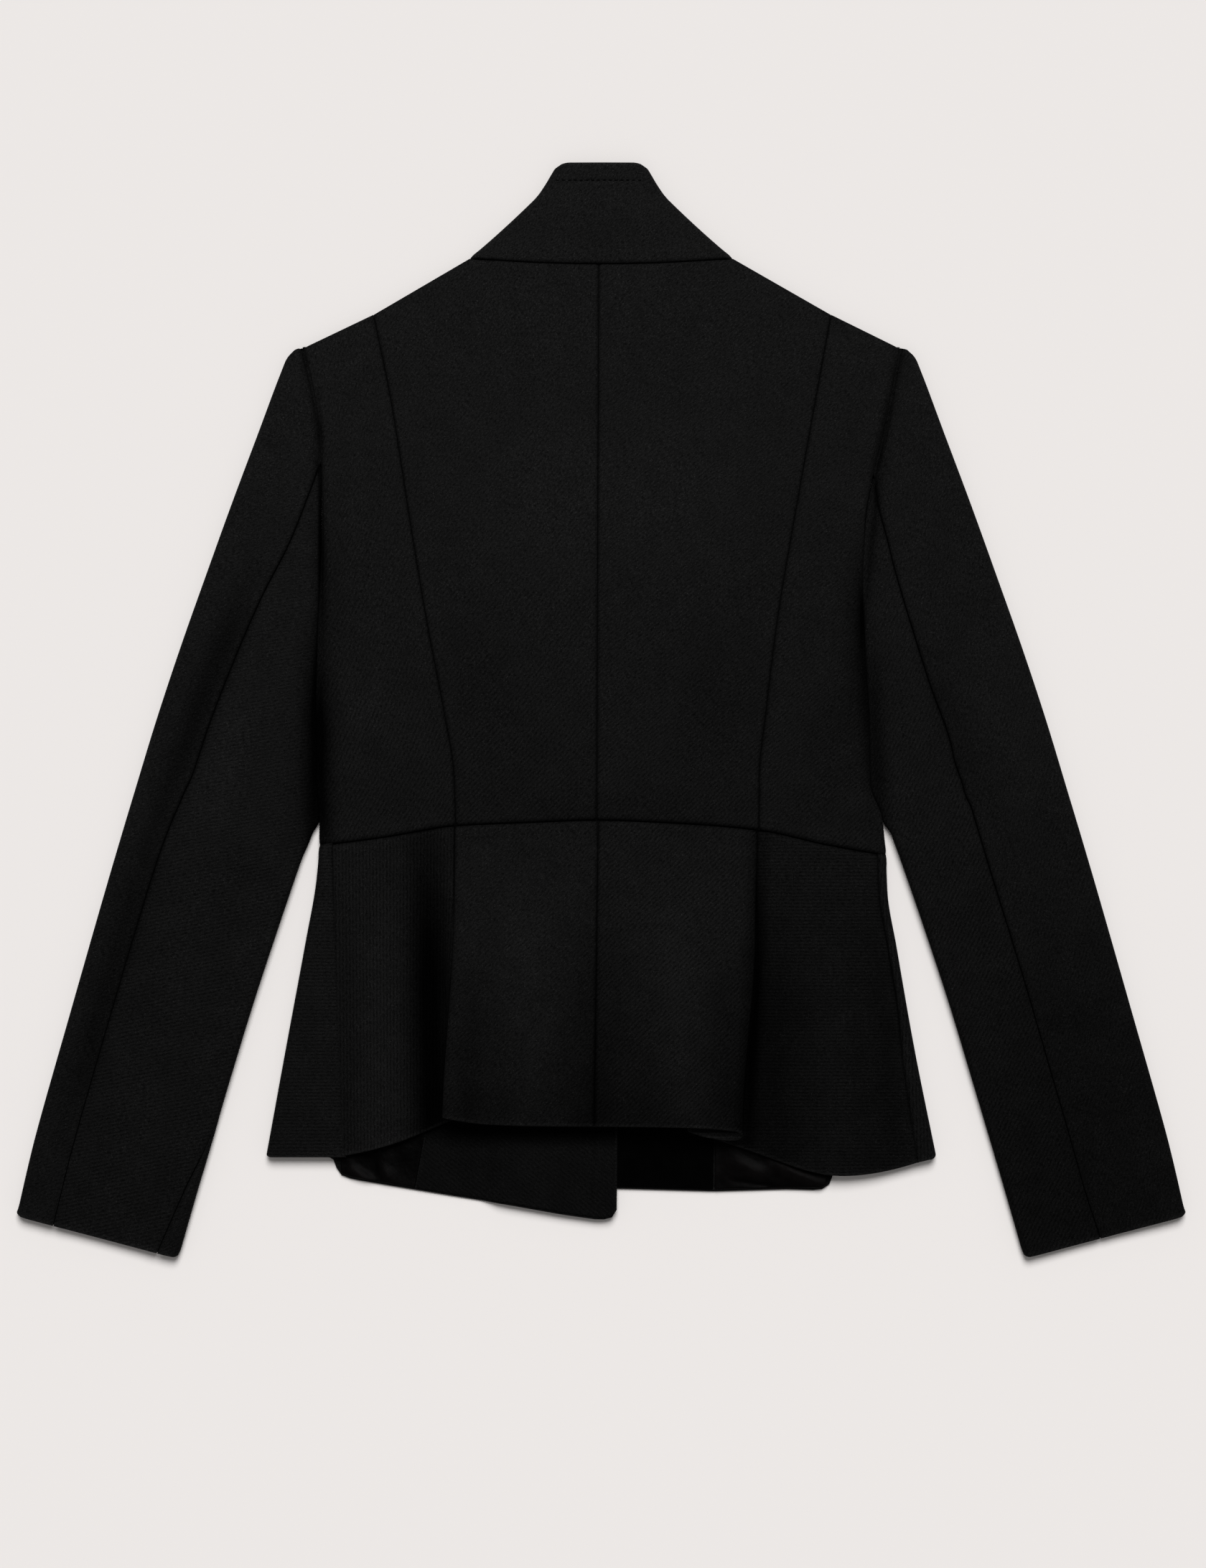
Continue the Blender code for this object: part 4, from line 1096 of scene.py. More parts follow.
class Run(NamedTuple):
    """A stretch of columns or rows and the length of its steps in millimetres."""

    start: float
    stop: float
    step: float


class Crease(NamedTuple):
    """A soft trough, or a ridge where the depth is negative, along a straight line seen from above; its
    depth also sets painted shade, or painted highlight on a ridge.
    """

    start_x: float
    start_y: float
    stop_x: float
    stop_y: float
    width: float
    depth: float


def crease_depth(creases: Sequence[Crease], x: Grid, y: Grid) -> Grid:
    """Add up the creases.

    Args:
        creases: Troughs and ridges of one piece.
        x: Places across.
        y: Places along.

    Returns:
        How far the cloth lies below its smooth form.
    """
    total = np.zeros_like(x)
    for crease in creases:
        over = crease.stop_x - crease.start_x
        up = crease.stop_y - crease.start_y
        length = math.hypot(over, up)
        share = ((x - crease.start_x) * over + (y - crease.start_y) * up) / length**2
        away = ((x - crease.start_x) * up - (y - crease.start_y) * over) / length
        fade = ease(CREASE_FADE * (1.0 - np.abs(2.0 * share - 1.0)))
        total = total + crease.depth * fade * np.exp(-((away / crease.width) ** 2))
    return total


def lengths(place: Grid, axis: int) -> Grid:
    """Measure the cloth.

    Args:
        place: Points in columns and rows, or along one line.
        axis: 0 to measure across the columns, 1 along the rows.

    Returns:
        Length of cloth from the first column or row to each point.
    """
    step = np.linalg.norm(np.diff(place, axis=axis), axis=-1)
    first = np.zeros_like(np.take(step, [0], axis=axis))
    return np.concatenate([first, np.cumsum(step, axis=axis)], axis=axis)


def stations(surface: Surface, runs: Sequence[Run], middle: float, rows: bool, rims: Sequence[Rim]) -> Grid:
    """Choose the columns or rows of a mesh, with close ones at its rounded rims.

    Args:
        surface: The surface that is measured.
        runs: Stretches of columns or rows.
        middle: The other coordinate of the line that is measured.
        rows: True where the runs are rows.
        rims: Rims at the first and the last place.

    Returns:
        The places, in order.
    """
    places = []
    for number, run in enumerate(runs):
        fine = np.linspace(run.start, run.stop, MEASURED_POINTS)
        other = np.full_like(fine, middle)
        length = lengths(surface(other, fine) if rows else surface(fine, other), 0)
        total = length[-1]
        wanted = list(np.linspace(0.0, total, max(2, math.ceil(total / run.step) + 1)))
        if number == 0:
            wanted += list(RIM_PLACES * rims[0].radius)
        if number == len(runs) - 1:
            wanted += list(total - RIM_PLACES * rims[1].radius)
        places += list(np.interp(np.unique(np.clip(wanted, 0.0, total)), length, fine))
    return np.unique(np.round(places, PLACE_DIGITS))


def normals_of(surface: Surface, across: Grid, along: Grid) -> Grid:
    """Find the directions square to a surface by small central differences.

    Args:
        surface: The surface.
        across: Places across it.
        along: Places along it.

    Returns:
        Directions of length 1.
    """
    over = surface(across + NORMAL_STEP, along) - surface(across - NORMAL_STEP, along)
    up = surface(across, along + NORMAL_STEP) - surface(across, along - NORMAL_STEP)
    normal = np.cross(over, up)
    return normal / np.maximum(np.linalg.norm(normal, axis=-1, keepdims=True), LEAST_LENGTH)


def new_piece(name: str, spots: list, faces: list) -> bpy.types.Object:
    """Make a smooth mesh that sits at the origin.

    Args:
        name: Name of the piece.
        spots: Its points in metres.
        faces: Numbers of the points of each face.

    Returns:
        The object.
    """
    mesh = bpy.data.meshes.new(name)
    mesh.from_pydata(spots, [], faces)
    mesh.polygons.foreach_set("use_smooth", np.ones(len(mesh.polygons), dtype=bool))
    mesh.update()
    piece = bpy.data.objects.new(name, mesh)
    bpy.context.scene.collection.objects.link(piece)
    return piece


@dataclass
class Shell:
    """One cut piece of cloth: a closed thin shell that stands for one solid.

    The rims are those of the first and last column and of the first and last row. The guide is the share
    of the columns where the cloth's direction is read, and wale the direction of its wale there. By their
    depth, creases paint shade into the colour (painted highlight where they rise) and press the cloth down
    by no more than its give. The seams' strength is the share of their depth and of their painted shade
    that is left at a height along Y, and the under share what is left of the creases where the cloth lies
    low; on an underside only troughs stay, so that none dips into the floor.
    Pairs such as a ridge's rise give where it starts and how far it takes.
    """

    node: str
    surface: Surface
    columns: Sequence[Run]
    rows: Sequence[Run]
    wall: float
    rims: tuple
    creases: tuple = ()
    guide: float = 0.0
    outside_up: bool = True
    grain: float = 90.0
    wale: float = 45.0
    middle: tuple = (0.5, 0.5)
    give: float = 2.2
    under_share: float = 0.25
    strength: Line = Line((-400.0, 400.0), (1.0, 1.0))
    rests_on: tuple = ()
    least_side: float = 0.2
    rim_side: float = 0.15
    painted_rim_reach: float = 1.5
    ridge_rise: tuple = (0.8, 2.4)
    ridge_fall: tuple = (5.5, 4.0)
    steep_share: float = 0.25
    low_rise: tuple = (2.0, 4.0)
    tone_height: float = 3.0
    flat: tuple = (0.0, 0.0)
    area: float = 0.0

    def guide_column(self, count: int) -> int:
        """Number of the column where the cloth's direction is read."""
        return min(max(int(round(self.guide * (count - 1))), 1), count - 2)

    def rounding(self, place: Grid) -> tuple:
        """Work out how the rims round off.

        Args:
            place: Points of the outside.

        Returns:
            How far the outside drops, how far the inside rises at the rims, the seam ridges and the painted
            rim shading.
        """
        over = lengths(place, 0)
        up = lengths(place, 1)
        away = (over, over[-1:] - over, up, up[:, -1:] - up)
        drop, lift, ridge, reach, painted_rim_shading = np.zeros((5,) + place.shape[:2])
        for distance, rim in zip(away, self.rims):
            radius, depth, height, dark = rim.value
            depth = min(depth, self.wall - self.least_side)
            near = np.clip(1.0 - distance / radius, 0.0, 1.0)
            reach = np.minimum(reach + near**2, 1.0)
            profile = 1.0 - np.sqrt(1.0 - near**2)
            drop = np.maximum(drop, depth * profile)
            # Painted shade along seam edges and, where the rim's value is negative, a painted highlight
            # along hem edges
            painted_rim_shading = painted_rim_shading + dark * np.exp(-((distance / self.painted_rim_reach) ** 2))
            lift = np.maximum(lift, (self.wall - depth - self.rim_side) * profile)
            rise = ease((distance - self.ridge_rise[0]) / self.ridge_rise[1])
            fall = ease((distance - self.ridge_fall[0]) / self.ridge_fall[1])
            ridge = np.maximum(ridge, height * rise * (1.0 - fall))
        corner = 1.0 - np.sqrt(1.0 - reach)
        return np.maximum(drop, np.minimum(corner, 1.0) * drop.max()), lift, ridge, painted_rim_shading

    def weave(self, place: Grid) -> Grid:
        """Lay the weave on the cloth.

        Args:
            place: Points of the outside.

        Returns:
            Distances across and along the wale, in metres.
        """
        grain = np.array([math.cos(math.radians(self.grain)), math.sin(math.radians(self.grain))])
        side = np.array([grain[1], -grain[0]])
        count, rows = place.shape[:2]
        column = self.guide_column(count)
        row = rows // 2
        over = lengths(place, 0)
        step = (place[column + 1, row, :2] - place[column - 1, row, :2]) @ side
        across = (over - over[column : column + 1]) * (1.0 if step > 0.0 else -1.0)
        across = across + place[column, row, :2] @ side
        along = place[..., :2] @ grain
        angle = math.radians(self.wale)
        first = -across * math.sin(angle) + along * math.cos(angle)
        second = across * math.cos(angle) + along * math.sin(angle)
        return np.stack([first, second], axis=-1) * MM

    def build(self) -> bpy.types.Object:
        """Make the mesh of the piece.

        Returns:
            The object, at the origin.
        """
        columns = stations(self.surface, self.columns, self.middle[1], False, self.rims[:2])
        rows = stations(self.surface, self.rows, self.middle[0], True, self.rims[2:])
        across, along = np.meshgrid(columns, rows, indexing="ij")
        outer = self.surface(across, along)
        normal = normals_of(self.surface, across, along)
        up = normal[self.guide_column(len(columns)), len(rows) // 2, 2] > 0.0
        turned = bool(up) != self.outside_up
        if turned:
            normal = -normal
        level = np.abs(normal[..., 2])
        drop, lift, ridge, painted_rim_shading = self.rounding(outer)
        strength = self.strength.at(outer[..., 1])
        drop = drop * (self.steep_share + (1.0 - self.steep_share) * level) * strength
        painted_rim_shading = np.where(painted_rim_shading > 0.0, painted_rim_shading * strength, painted_rim_shading)
        high = ease((outer[..., 2] - self.low_rise[0]) / self.low_rise[1])
        weave = self.weave(outer)
        # The crease depth also paints shade into the colour, and painted highlight where it rises; this
        # fades out near the floor
        depth_and_painted_shade = crease_depth(self.creases, outer[..., 0], outer[..., 1])
        depth_and_painted_shade = np.where(normal[..., 2] < 0.0, np.maximum(depth_and_painted_shade, 0.0), depth_and_painted_shade)
        sunk = np.minimum(depth_and_painted_shade, self.give) * np.maximum(high, self.under_share) * level
        depth_and_painted_shade = depth_and_painted_shade * ease(outer[..., 2] / self.tone_height)
        outer = outer - normal * sunk[..., None]
        inner = outer - normal * (self.wall - lift)[..., None]
        outer = outer - normal * (drop - ridge)[..., None]
        self.flat = (float(lengths(outer, 0)[-1].max()) * MM, float(lengths(outer, 1)[:, -1].max()) * MM)
        over = outer[1:, 1:] - outer[:-1, :-1]
        back = outer[1:, :-1] - outer[:-1, 1:]
        self.area = float(0.5 * np.linalg.norm(np.cross(over, back), axis=-1).sum()) * MM**2
        return self.mesh(outer, inner, weave, depth_and_painted_shade + painted_rim_shading, turned)

    def mesh(self, outer: Grid, inner: Grid, weave: Grid, depth_and_painted_shade: Grid, turned: bool) -> bpy.types.Object:
        """Join the outside, the inside and the rims into one closed mesh.

        Args:
            outer: Points of the outside.
            inner: Points of the inside.
            weave: Weave map of the points.
            depth_and_painted_shade: Crease depth there, which sets painted shade and painted highlight, and
                the painted shading at the rims.
            turned: True where the faces run the other way round.

        Returns:
            The object.
        """
        count, rows = outer.shape[:2]
        total = count * rows
        index = np.arange(total).reshape(count, rows)
        quads = np.stack([index[:-1, :-1], index[1:, :-1], index[1:, 1:], index[:-1, 1:]], axis=-1)
        quads = quads.reshape(-1, 4)
        rim = np.concatenate([index[:, 0], index[-1, 1:], index[-2::-1, -1], index[0, -2:0:-1]])
        after = np.roll(rim, -1)
        sides = np.stack([after, rim, rim + total, after + total], axis=-1)
        faces = np.concatenate([quads, quads[:, ::-1] + total, sides])
        if turned:
            faces = faces[:, ::-1]
        spots = np.concatenate([outer.reshape(-1, 3), inner.reshape(-1, 3)]) * MM
        piece = new_piece(self.node + "_cloth", spots.tolist(), faces.tolist())
        mesh = piece.data
        layer = mesh.uv_layers.new(name=WEAVE)
        both = np.tile(weave.reshape(-1, 2), (2, 1))
        corners = np.empty(len(mesh.loops), dtype=np.int64)
        mesh.loops.foreach_get("vertex_index", corners)
        layer.data.foreach_set("uv", both[corners].astype(np.float32).ravel())
        depth = mesh.attributes.new(DEPTH_AND_PAINTED_SHADE, "FLOAT", "POINT")
        depth.data.foreach_set("value", np.tile(depth_and_painted_shade.ravel(), 2).astype(np.float32))
        return piece

    def dress(self, piece: bpy.types.Object, finish: "Finish") -> None:
        """Give the piece its finish, hang it on the body and hide its solid.

        Args:
            piece: The object.
            finish: What it is made of.
        """
        piece.data.materials.append(finish.material())
        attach(piece, BODY)
        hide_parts(self.node)
        list(self.rests_on)
        wide, tall = (size / MM for size in self.flat)
        LOG.info("%s: %d faces, cut %.0f x %.0f mm", piece.name, len(piece.data.polygons), wide, tall)


def linear(colour: str) -> tuple:
    """Turn an sRGB hex colour into linear values with full alpha."""
    parts = [int(colour[place : place + 2], 16) / 255.0 for place in (1, 3, 5)]
    return tuple(v / 12.92 if v <= 0.04045 else ((v + 0.055) / 1.055) ** 2.4 for v in parts) + (1.0,)


def plug(tree: bpy.types.NodeTree, node: bpy.types.Node, sockets: dict) -> None:
    """Set or link inputs of a node.

    Args:
        tree: The material's nodes.
        node: The node.
        sockets: Inputs by name or number: a value, or an output to link.
    """
    for name, value in sockets.items():
        if isinstance(value, bpy.types.NodeSocket):
            tree.links.new(value, node.inputs[name])
        else:
            node.inputs[name].default_value = value


def add(tree: bpy.types.NodeTree, kind: str, sockets: dict, **settings: Any) -> bpy.types.NodeOutputs:
    """Add a node.

    Args:
        tree: The material's nodes.
        kind: Type of the node, without the part of the name that all share.
        sockets: Inputs by name or number: a value, or an output to link.
        settings: Settings of the node.

    Returns:
        The node's outputs.
    """
    made = tree.nodes.new("ShaderNode" + kind)
    for name, value in settings.items():
        setattr(made, name, value)
    plug(tree, made, sockets)
    return made.outputs


@dataclass(frozen=True)
class Finish:
    """What a piece is made of: its name and the record's slot."""

    name: str
    slot: str

    def material(self) -> bpy.types.Material:
        """Make the material once.

        Returns:
            The material.
        """
        found = bpy.data.materials.get(self.name)
        if found is None:
            found = bpy.data.materials.new(self.name)
            found.use_nodes = True
            self.paint(found.node_tree, found.node_tree.nodes["Principled BSDF"])
        return found

    def paint(self, tree: bpy.types.NodeTree, shader: bpy.types.Node) -> None:
        """Set up the nodes."""
        raise NotImplementedError


@dataclass(frozen=True)
class WoolTwill(Finish):
    """Black wool twill: a raised wale under a short nap that greys it with fine flecks.

    Real twill is finer: the wale is drawn as coarse as it needs to show. The spans give what a value runs
    from and to, and then what that becomes. A painted light gradient makes the colour lighter along a
    direction, by a share for each metre: towards the collar and the left side, darker to the lower right.
    """

    dark: str = "#060606"
    light: str = "#171717"
    fleck: str = "#2b2b2b"
    wale_mm: float = 2.5
    wale_share: float = 0.1
    covered_share: float = 0.3
    float_mm: float = 1.0
    float_stretch: float = 0.4
    nap_mm: float = 0.75
    cloud_mm: float = 14.0
    bump_mm: float = 0.25
    bump_strength: float = 0.7
    napped_from: float = -120.0
    napped_to: float = 200.0
    brushed: tuple = (-0.18, 0.9, 0.0)
    tone_span: tuple = (0.36, 0.64)
    fleck_span: tuple = (0.63, 0.8)
    cloud_span: tuple = (0.3, 0.7, 0.9, 1.1)
    painted_shade_span: tuple = (-4.0, 3.5, 2.0, 0.1)
    roughness: float = 0.82
    gloss: float = 0.02
    sheen: float = 0.012
    sheen_roughness: float = 0.4

    def paint(self, tree: bpy.types.NodeTree, shader: bpy.types.Node) -> None:
        """Draw wale, floats and nap from the weave map, in metres.

        Args:
            tree: The material's nodes.
            shader: Its shader.
        """
        node = partial(add, tree)
        weave = node("UVMap", {}, uv_map=WEAVE)["UV"]
        here = node("TexCoord", {})["Object"]
        wave = {"Scale": WAVE / (self.wale_mm * MM), "Distortion": 1.0, "Detail": 2.0, "Detail Scale": 1.2}
        wale = node("TexWave", {"Vector": weave} | wave, bands_direction="X")["Fac"]
        size = self.float_mm * MM
        stretch = (1.0 / size, self.float_stretch / size, 1.0)
        long = node("Mapping", {"Vector": weave, "Scale": stretch})["Vector"]
        floats = node("TexNoise", {"Vector": long, "Scale": 1.0, "Detail": 2.0})["Fac"]
        nap = node("TexNoise", {"Vector": here, "Scale": 1.0 / (self.nap_mm * MM), "Detail": 3.0})["Fac"]
        clouds = {"Vector": here, "Scale": 1.0 / (self.cloud_mm * MM), "Detail": 2.0}
        cloud = node("TexNoise", clouds)["Fac"]
        fuzz = node("Math", {0: floats, 1: nap}, operation="ADD")[0]
        # Towards the shoulders the nap covers the wale
        up = node("SeparateXYZ", {"Vector": here})["Y"]
        covered = self.covered_share * self.wale_share
        rows = (up, self.napped_from * MM, self.napped_to * MM, self.wale_share, covered)
        bare = node("MapRange", dict(zip(SPAN, rows)))["Result"]
        centred = node("Math", {0: wale, 1: 0.5}, operation="SUBTRACT")[0]
        ribs = node("Math", {0: centred, 1: bare, 2: 0.5 * self.wale_share}, operation="MULTIPLY_ADD")[0]
        soft = 0.5 * (1.0 - self.wale_share)
        height = node("Math", {0: fuzz, 1: soft, 2: ribs}, operation="MULTIPLY_ADD")[0]
        spread = node("MapRange", dict(zip(SPAN, (height,) + self.tone_span)))["Result"]
        tones = {0: spread, 6: linear(self.dark), 7: linear(self.light)}
        cloth = node("Mix", tones, data_type="RGBA")[2]
        stray = node("MapRange", dict(zip(SPAN, (nap,) + self.fleck_span)))["Result"]
        flecked = node("Mix", {0: stray, 6: cloth, 7: linear(self.fleck)}, data_type="RGBA")[2]
        # Painted light: the colour grows lighter towards the collar and the left side and darker to the
        # lower right
        slope = node("VectorMath", {0: here, 1: self.brushed}, operation="DOT_PRODUCT")["Value"]
        mottle = node("MapRange", dict(zip(SPAN, (cloud,) + self.cloud_span)))["Result"]
        mottle_and_painted_light = node("Math", {0: slope, 1: mottle}, operation="ADD")[0]
        # Painted shade in the creases and painted highlight on the ridges, by their depth; the same factor
        # damps the gloss and sheen in the creases
        depth_and_painted_shade = node("Attribute", {}, attribute_name=DEPTH_AND_PAINTED_SHADE)["Fac"]
        painted_shade_factor = node("MapRange", dict(zip(SPAN, (depth_and_painted_shade,) + self.painted_shade_span)))["Result"]
        tone = node("Math", {0: mottle_and_painted_light, 1: painted_shade_factor}, operation="MULTIPLY")[0]
        bump = {"Height": height, "Strength": self.bump_strength, "Distance": self.bump_mm * MM}
        look = {
            "Base Color": node("VectorMath", {0: flecked, "Scale": tone}, operation="SCALE")["Vector"],
            "Normal": node("Bump", bump)["Normal"],
            "Roughness": self.roughness,
            "Sheen Roughness": self.sheen_roughness,
        }
        for name, share in (("Specular IOR Level", self.gloss), ("Sheen Weight", self.sheen)):
            look[name] = node("Math", {0: painted_shade_factor, 1: share}, operation="MULTIPLY")[0]
        plug(tree, shader, look)


@dataclass(frozen=True)
class Satin(Finish):
    """Satin lining: long smooth floats give it a soft gloss that breaks over its folds, with painted
    highlights along the folds and painted shade between them.
    """

    colour: str = "#060505"
    roughness: float = 0.36
    gloss: float = 0.02
    thread_mm: float = 0.6
    thread_share: float = 0.06
    pucker_mm: float = 12.0
    pucker_painted_light: float = -2.2
    painted_fold_light_span: tuple = (-2.4, -0.7, 1.2, 0.2)
    bump_mm: float = 1.4
    bump_strength: float = 0.6

    def paint(self, tree: bpy.types.NodeTree, shader: bpy.types.Node) -> None:
        """Draw fine threads and faint puckers, with painted highlights along the folds.

        Args:
            tree: The material's nodes.
            shader: Its shader.
        """
        node = partial(add, tree)
        weave = node("UVMap", {}, uv_map=WEAVE)["UV"]
        wave = {"Vector": weave, "Scale": WAVE / (self.thread_mm * MM), "Distortion": 1.0}
        thread = node("TexWave", wave)["Fac"]
        noise = {"Vector": weave, "Scale": 1.0 / (self.pucker_mm * MM), "Detail": 3.0}
        pucker = node("TexNoise", noise)["Fac"]
        height = node("Math", {0: thread, 1: self.thread_share, 2: pucker}, operation="MULTIPLY_ADD")[0]
        bump = {"Height": height, "Strength": self.bump_strength, "Distance": self.bump_mm * MM}
        # Painted highlights along the folds and on the puckers and painted shade between them, from crease
        # depth and pucker noise
        depth_and_painted_shade = node("Attribute", {}, attribute_name=DEPTH_AND_PAINTED_SHADE)["Fac"]
        fold = node("Math", {0: pucker, 1: self.pucker_painted_light, 2: depth_and_painted_shade}, operation="MULTIPLY_ADD")[0]
        tone = node("MapRange", dict(zip(SPAN, (fold,) + self.painted_fold_light_span)))["Result"]
        toned = {0: linear(self.colour)[:3], "Scale": tone}
        look = {
            "Base Color": node("VectorMath", toned, operation="SCALE")["Vector"],
            "Normal": node("Bump", bump)["Normal"],
            "Roughness": self.roughness,
            "Specular IOR Level": self.gloss,
        }
        plug(tree, shader, look)


@dataclass(frozen=True)
class Paper(Finish):
    """Matt cream paper, which gives the floor an even pale tone with a faint tooth."""

    colour: str = "#ece8e6"
    tooth_mm: float = 4.0
    bump_mm: float = 0.1
    bump_strength: float = 0.05

    def paint(self, tree: bpy.types.NodeTree, shader: bpy.types.Node) -> None:
        """Draw a faint tooth.

        Args:
            tree: The material's nodes.
            shader: Its shader.
        """
        node = partial(add, tree)
        here = node("TexCoord", {})["Object"]
        tooth = node("TexNoise", {"Vector": here, "Scale": 1.0 / (self.tooth_mm * MM)})["Fac"]
        bump = {"Height": tooth, "Strength": self.bump_strength, "Distance": self.bump_mm * MM}
        look = {
            "Base Color": linear(self.colour),
            "Normal": node("Bump", bump)["Normal"],
            "Roughness": 1.0,
            "Specular IOR Level": 0.0,
        }
        plug(tree, shader, look)


@dataclass(frozen=True)
class Thread(Finish):
    """Twisted sewing thread: a fine ply that catches a little light."""

    colour: str = "#030303"
    ply_mm: float = 0.5
    bump_mm: float = 0.1
    bump_strength: float = 0.6
    roughness: float = 0.7
    gloss: float = 0.01

    def paint(self, tree: bpy.types.NodeTree, shader: bpy.types.Node) -> None:
        """Draw the ply.

        Args:
            tree: The material's nodes.
            shader: Its shader.
        """
        node = partial(add, tree)
        here = node("TexCoord", {})["Object"]
        wave = {"Vector": here, "Scale": WAVE / (self.ply_mm * MM), "Distortion": 0.4}
        ply = node("TexWave", wave, bands_direction="DIAGONAL")["Fac"]
        bump = {"Height": ply, "Strength": self.bump_strength, "Distance": self.bump_mm * MM}
        look = {
            "Base Color": linear(self.colour),
            "Normal": node("Bump", bump)["Normal"],
            "Roughness": self.roughness,
            "Specular IOR Level": self.gloss,
        }
        plug(tree, shader, look)


@dataclass(frozen=True)
class Assembly:
    """Pieces that are sewn together; each kind gives its shells."""

    def shells(self) -> list:
        """List the shells with their finishes."""
        raise NotImplementedError

    def build(self) -> None:
        """Build and dress every piece."""
        for shell, finish in self.shells():
            shell.dress(shell.build(), finish)


@dataclass(frozen=True)
class Body(Assembly):
    """Centre backs, side backs and fronts."""

    form: BodyForm
    wool: Finish
    step: float = 4.0
    roll_step: float = 0.8
    under_step: float = 8.0
    back_wale: float = 45.0
    side_wales: tuple = (58.0, 42.0)
    front_guide: float = 0.7
    # Creases here and in the fronts also paint shade by their depth, darkest by the armholes, and painted
    # highlight where the depth is negative
    creases: tuple = (
        Crease(-184.0, 150.0, -186.0, -60.0, 12.0, 0.9),
        Crease(-190.0, 40.0, -186.0, -130.0, 8.5, 3.3),
        Crease(-216.0, 320.0, -181.0, 150.0, 1.6, 2.0),
        Crease(-189.0, 235.0, -186.5, 40.0, 1.7, 1.8),
        Crease(-187.5, 180.0, -189.0, -60.0, 4.0, 1.2),
        Crease(215.0, 305.0, 172.0, 105.0, 1.6, 1.0),
        Crease(190.0, 195.0, 172.0, 25.0, 1.6, 0.8),
        Crease(215.0, 305.0, 172.0, 105.0, 4.0, 1.2),
        Crease(190.0, 195.0, 172.0, 25.0, 4.5, 1.4),
        Crease(172.0, 130.0, 184.0, -110.0, 5.0, 1.8),
        Crease(-168.0, 40.0, -150.0, -78.0, 16.0, -0.5),
        Crease(-186.0, 10.0, -128.0, -62.0, 13.0, 0.5),
        Crease(-188.0, -40.0, -118.0, -80.0, 10.0, 0.4),
        Crease(172.0, 130.0, 172.0, -50.0, 11.0, 1.3),
        Crease(176.0, 20.0, 128.0, -50.0, 14.0, 0.6),
        Crease(182.0, -30.0, 120.0, -82.0, 10.0, 0.45),
        Crease(-95.0, 90.0, -60.0, -70.0, 30.0, 0.5),
        Crease(95.0, 80.0, 66.0, -72.0, 28.0, 0.5),
        Crease(-50.0, 215.0, -20.0, 60.0, 40.0, -0.5),
        Crease(60.0, 215.0, 28.0, 70.0, 40.0, -0.5),
        Crease(-150.0, -66.0, 150.0, -72.0, 14.0, 0.6),
    )
    front_creases: tuple = (
        Crease(-150.0, 200.0, -120.0, -40.0, 18.0, 0.6),
        Crease(-168.0, 60.0, -110.0, -60.0, 14.0, 0.5),
        Crease(-100.0, 230.0, -88.0, 60.0, 20.0, 0.45),
        Crease(140.0, 190.0, 112.0, -50.0, 17.0, 0.6),
        Crease(165.0, 40.0, 104.0, -62.0, 13.0, 0.5),
        Crease(92.0, 225.0, 80.0, 70.0, 21.0, 0.4),
        Crease(58.0, 120.0, 70.0, -40.0, 15.0, 0.35),
    )

    def shells(self) -> list:
        """List the body's shells.

        Returns:
            Shells with their finishes.
        """
        form = self.form
        made = []
        for hand, wale in zip(Hand, self.side_wales):
            under = "front_" + hand.word
            made.append(
                Shell(
                    "back_" + hand.word,
                    form.back(hand),
                    [Run(0.0, 1.0, self.step), Run(1.0, 2.0, self.step)],
                    [Run(0.0, 1.0, self.step)],
                    form.wall,
                    (Rim.SEAM, Rim.SEAM, Rim.DEEP, Rim.SEAM),
                    self.creases,
                    wale=self.back_wale,
                    middle=(1.0, 0.5),
                    rests_on=(under,),
                )
            )
            made.append(
                Shell(
                    "side_back_" + hand.word,
                    form.side_back(hand),
                    [Run(0.0, 1.0, self.step), Run(1.0, 2.0 - form.edge_seam, self.roll_step)],
                    [Run(0.0, 1.0, self.step)],
                    form.wall,
                    (Rim.SEAM, Rim.LAP, Rim.DEEP, Rim.SEAM),
                    self.creases,
                    wale=wale,
                    rests_on=(under,),
                )
            )
            surface, last = form.front(hand)
            made.append(
                Shell(
                    under,
                    surface,
                    [Run(form.edge_seam - 1.0, 0.0, self.roll_step), Run(0.0, last, self.under_step)],
                    [Run(0.0, 1.0, self.under_step)],
                    form.wall,
                    (Rim.LAP, Rim.HEM, Rim.DEEP, Rim.SEAM),
                    self.front_creases,
                    guide=self.front_guide,
                    under_share=1.0,
                    outside_up=False,
                    wale=self.back_wale,
                    middle=(2.0, 0.5),
                    rests_on=hand.pick((FLOOR, "front_right"), (FLOOR,)),
                )
            )
        return [(shell, self.wool) for shell in made]


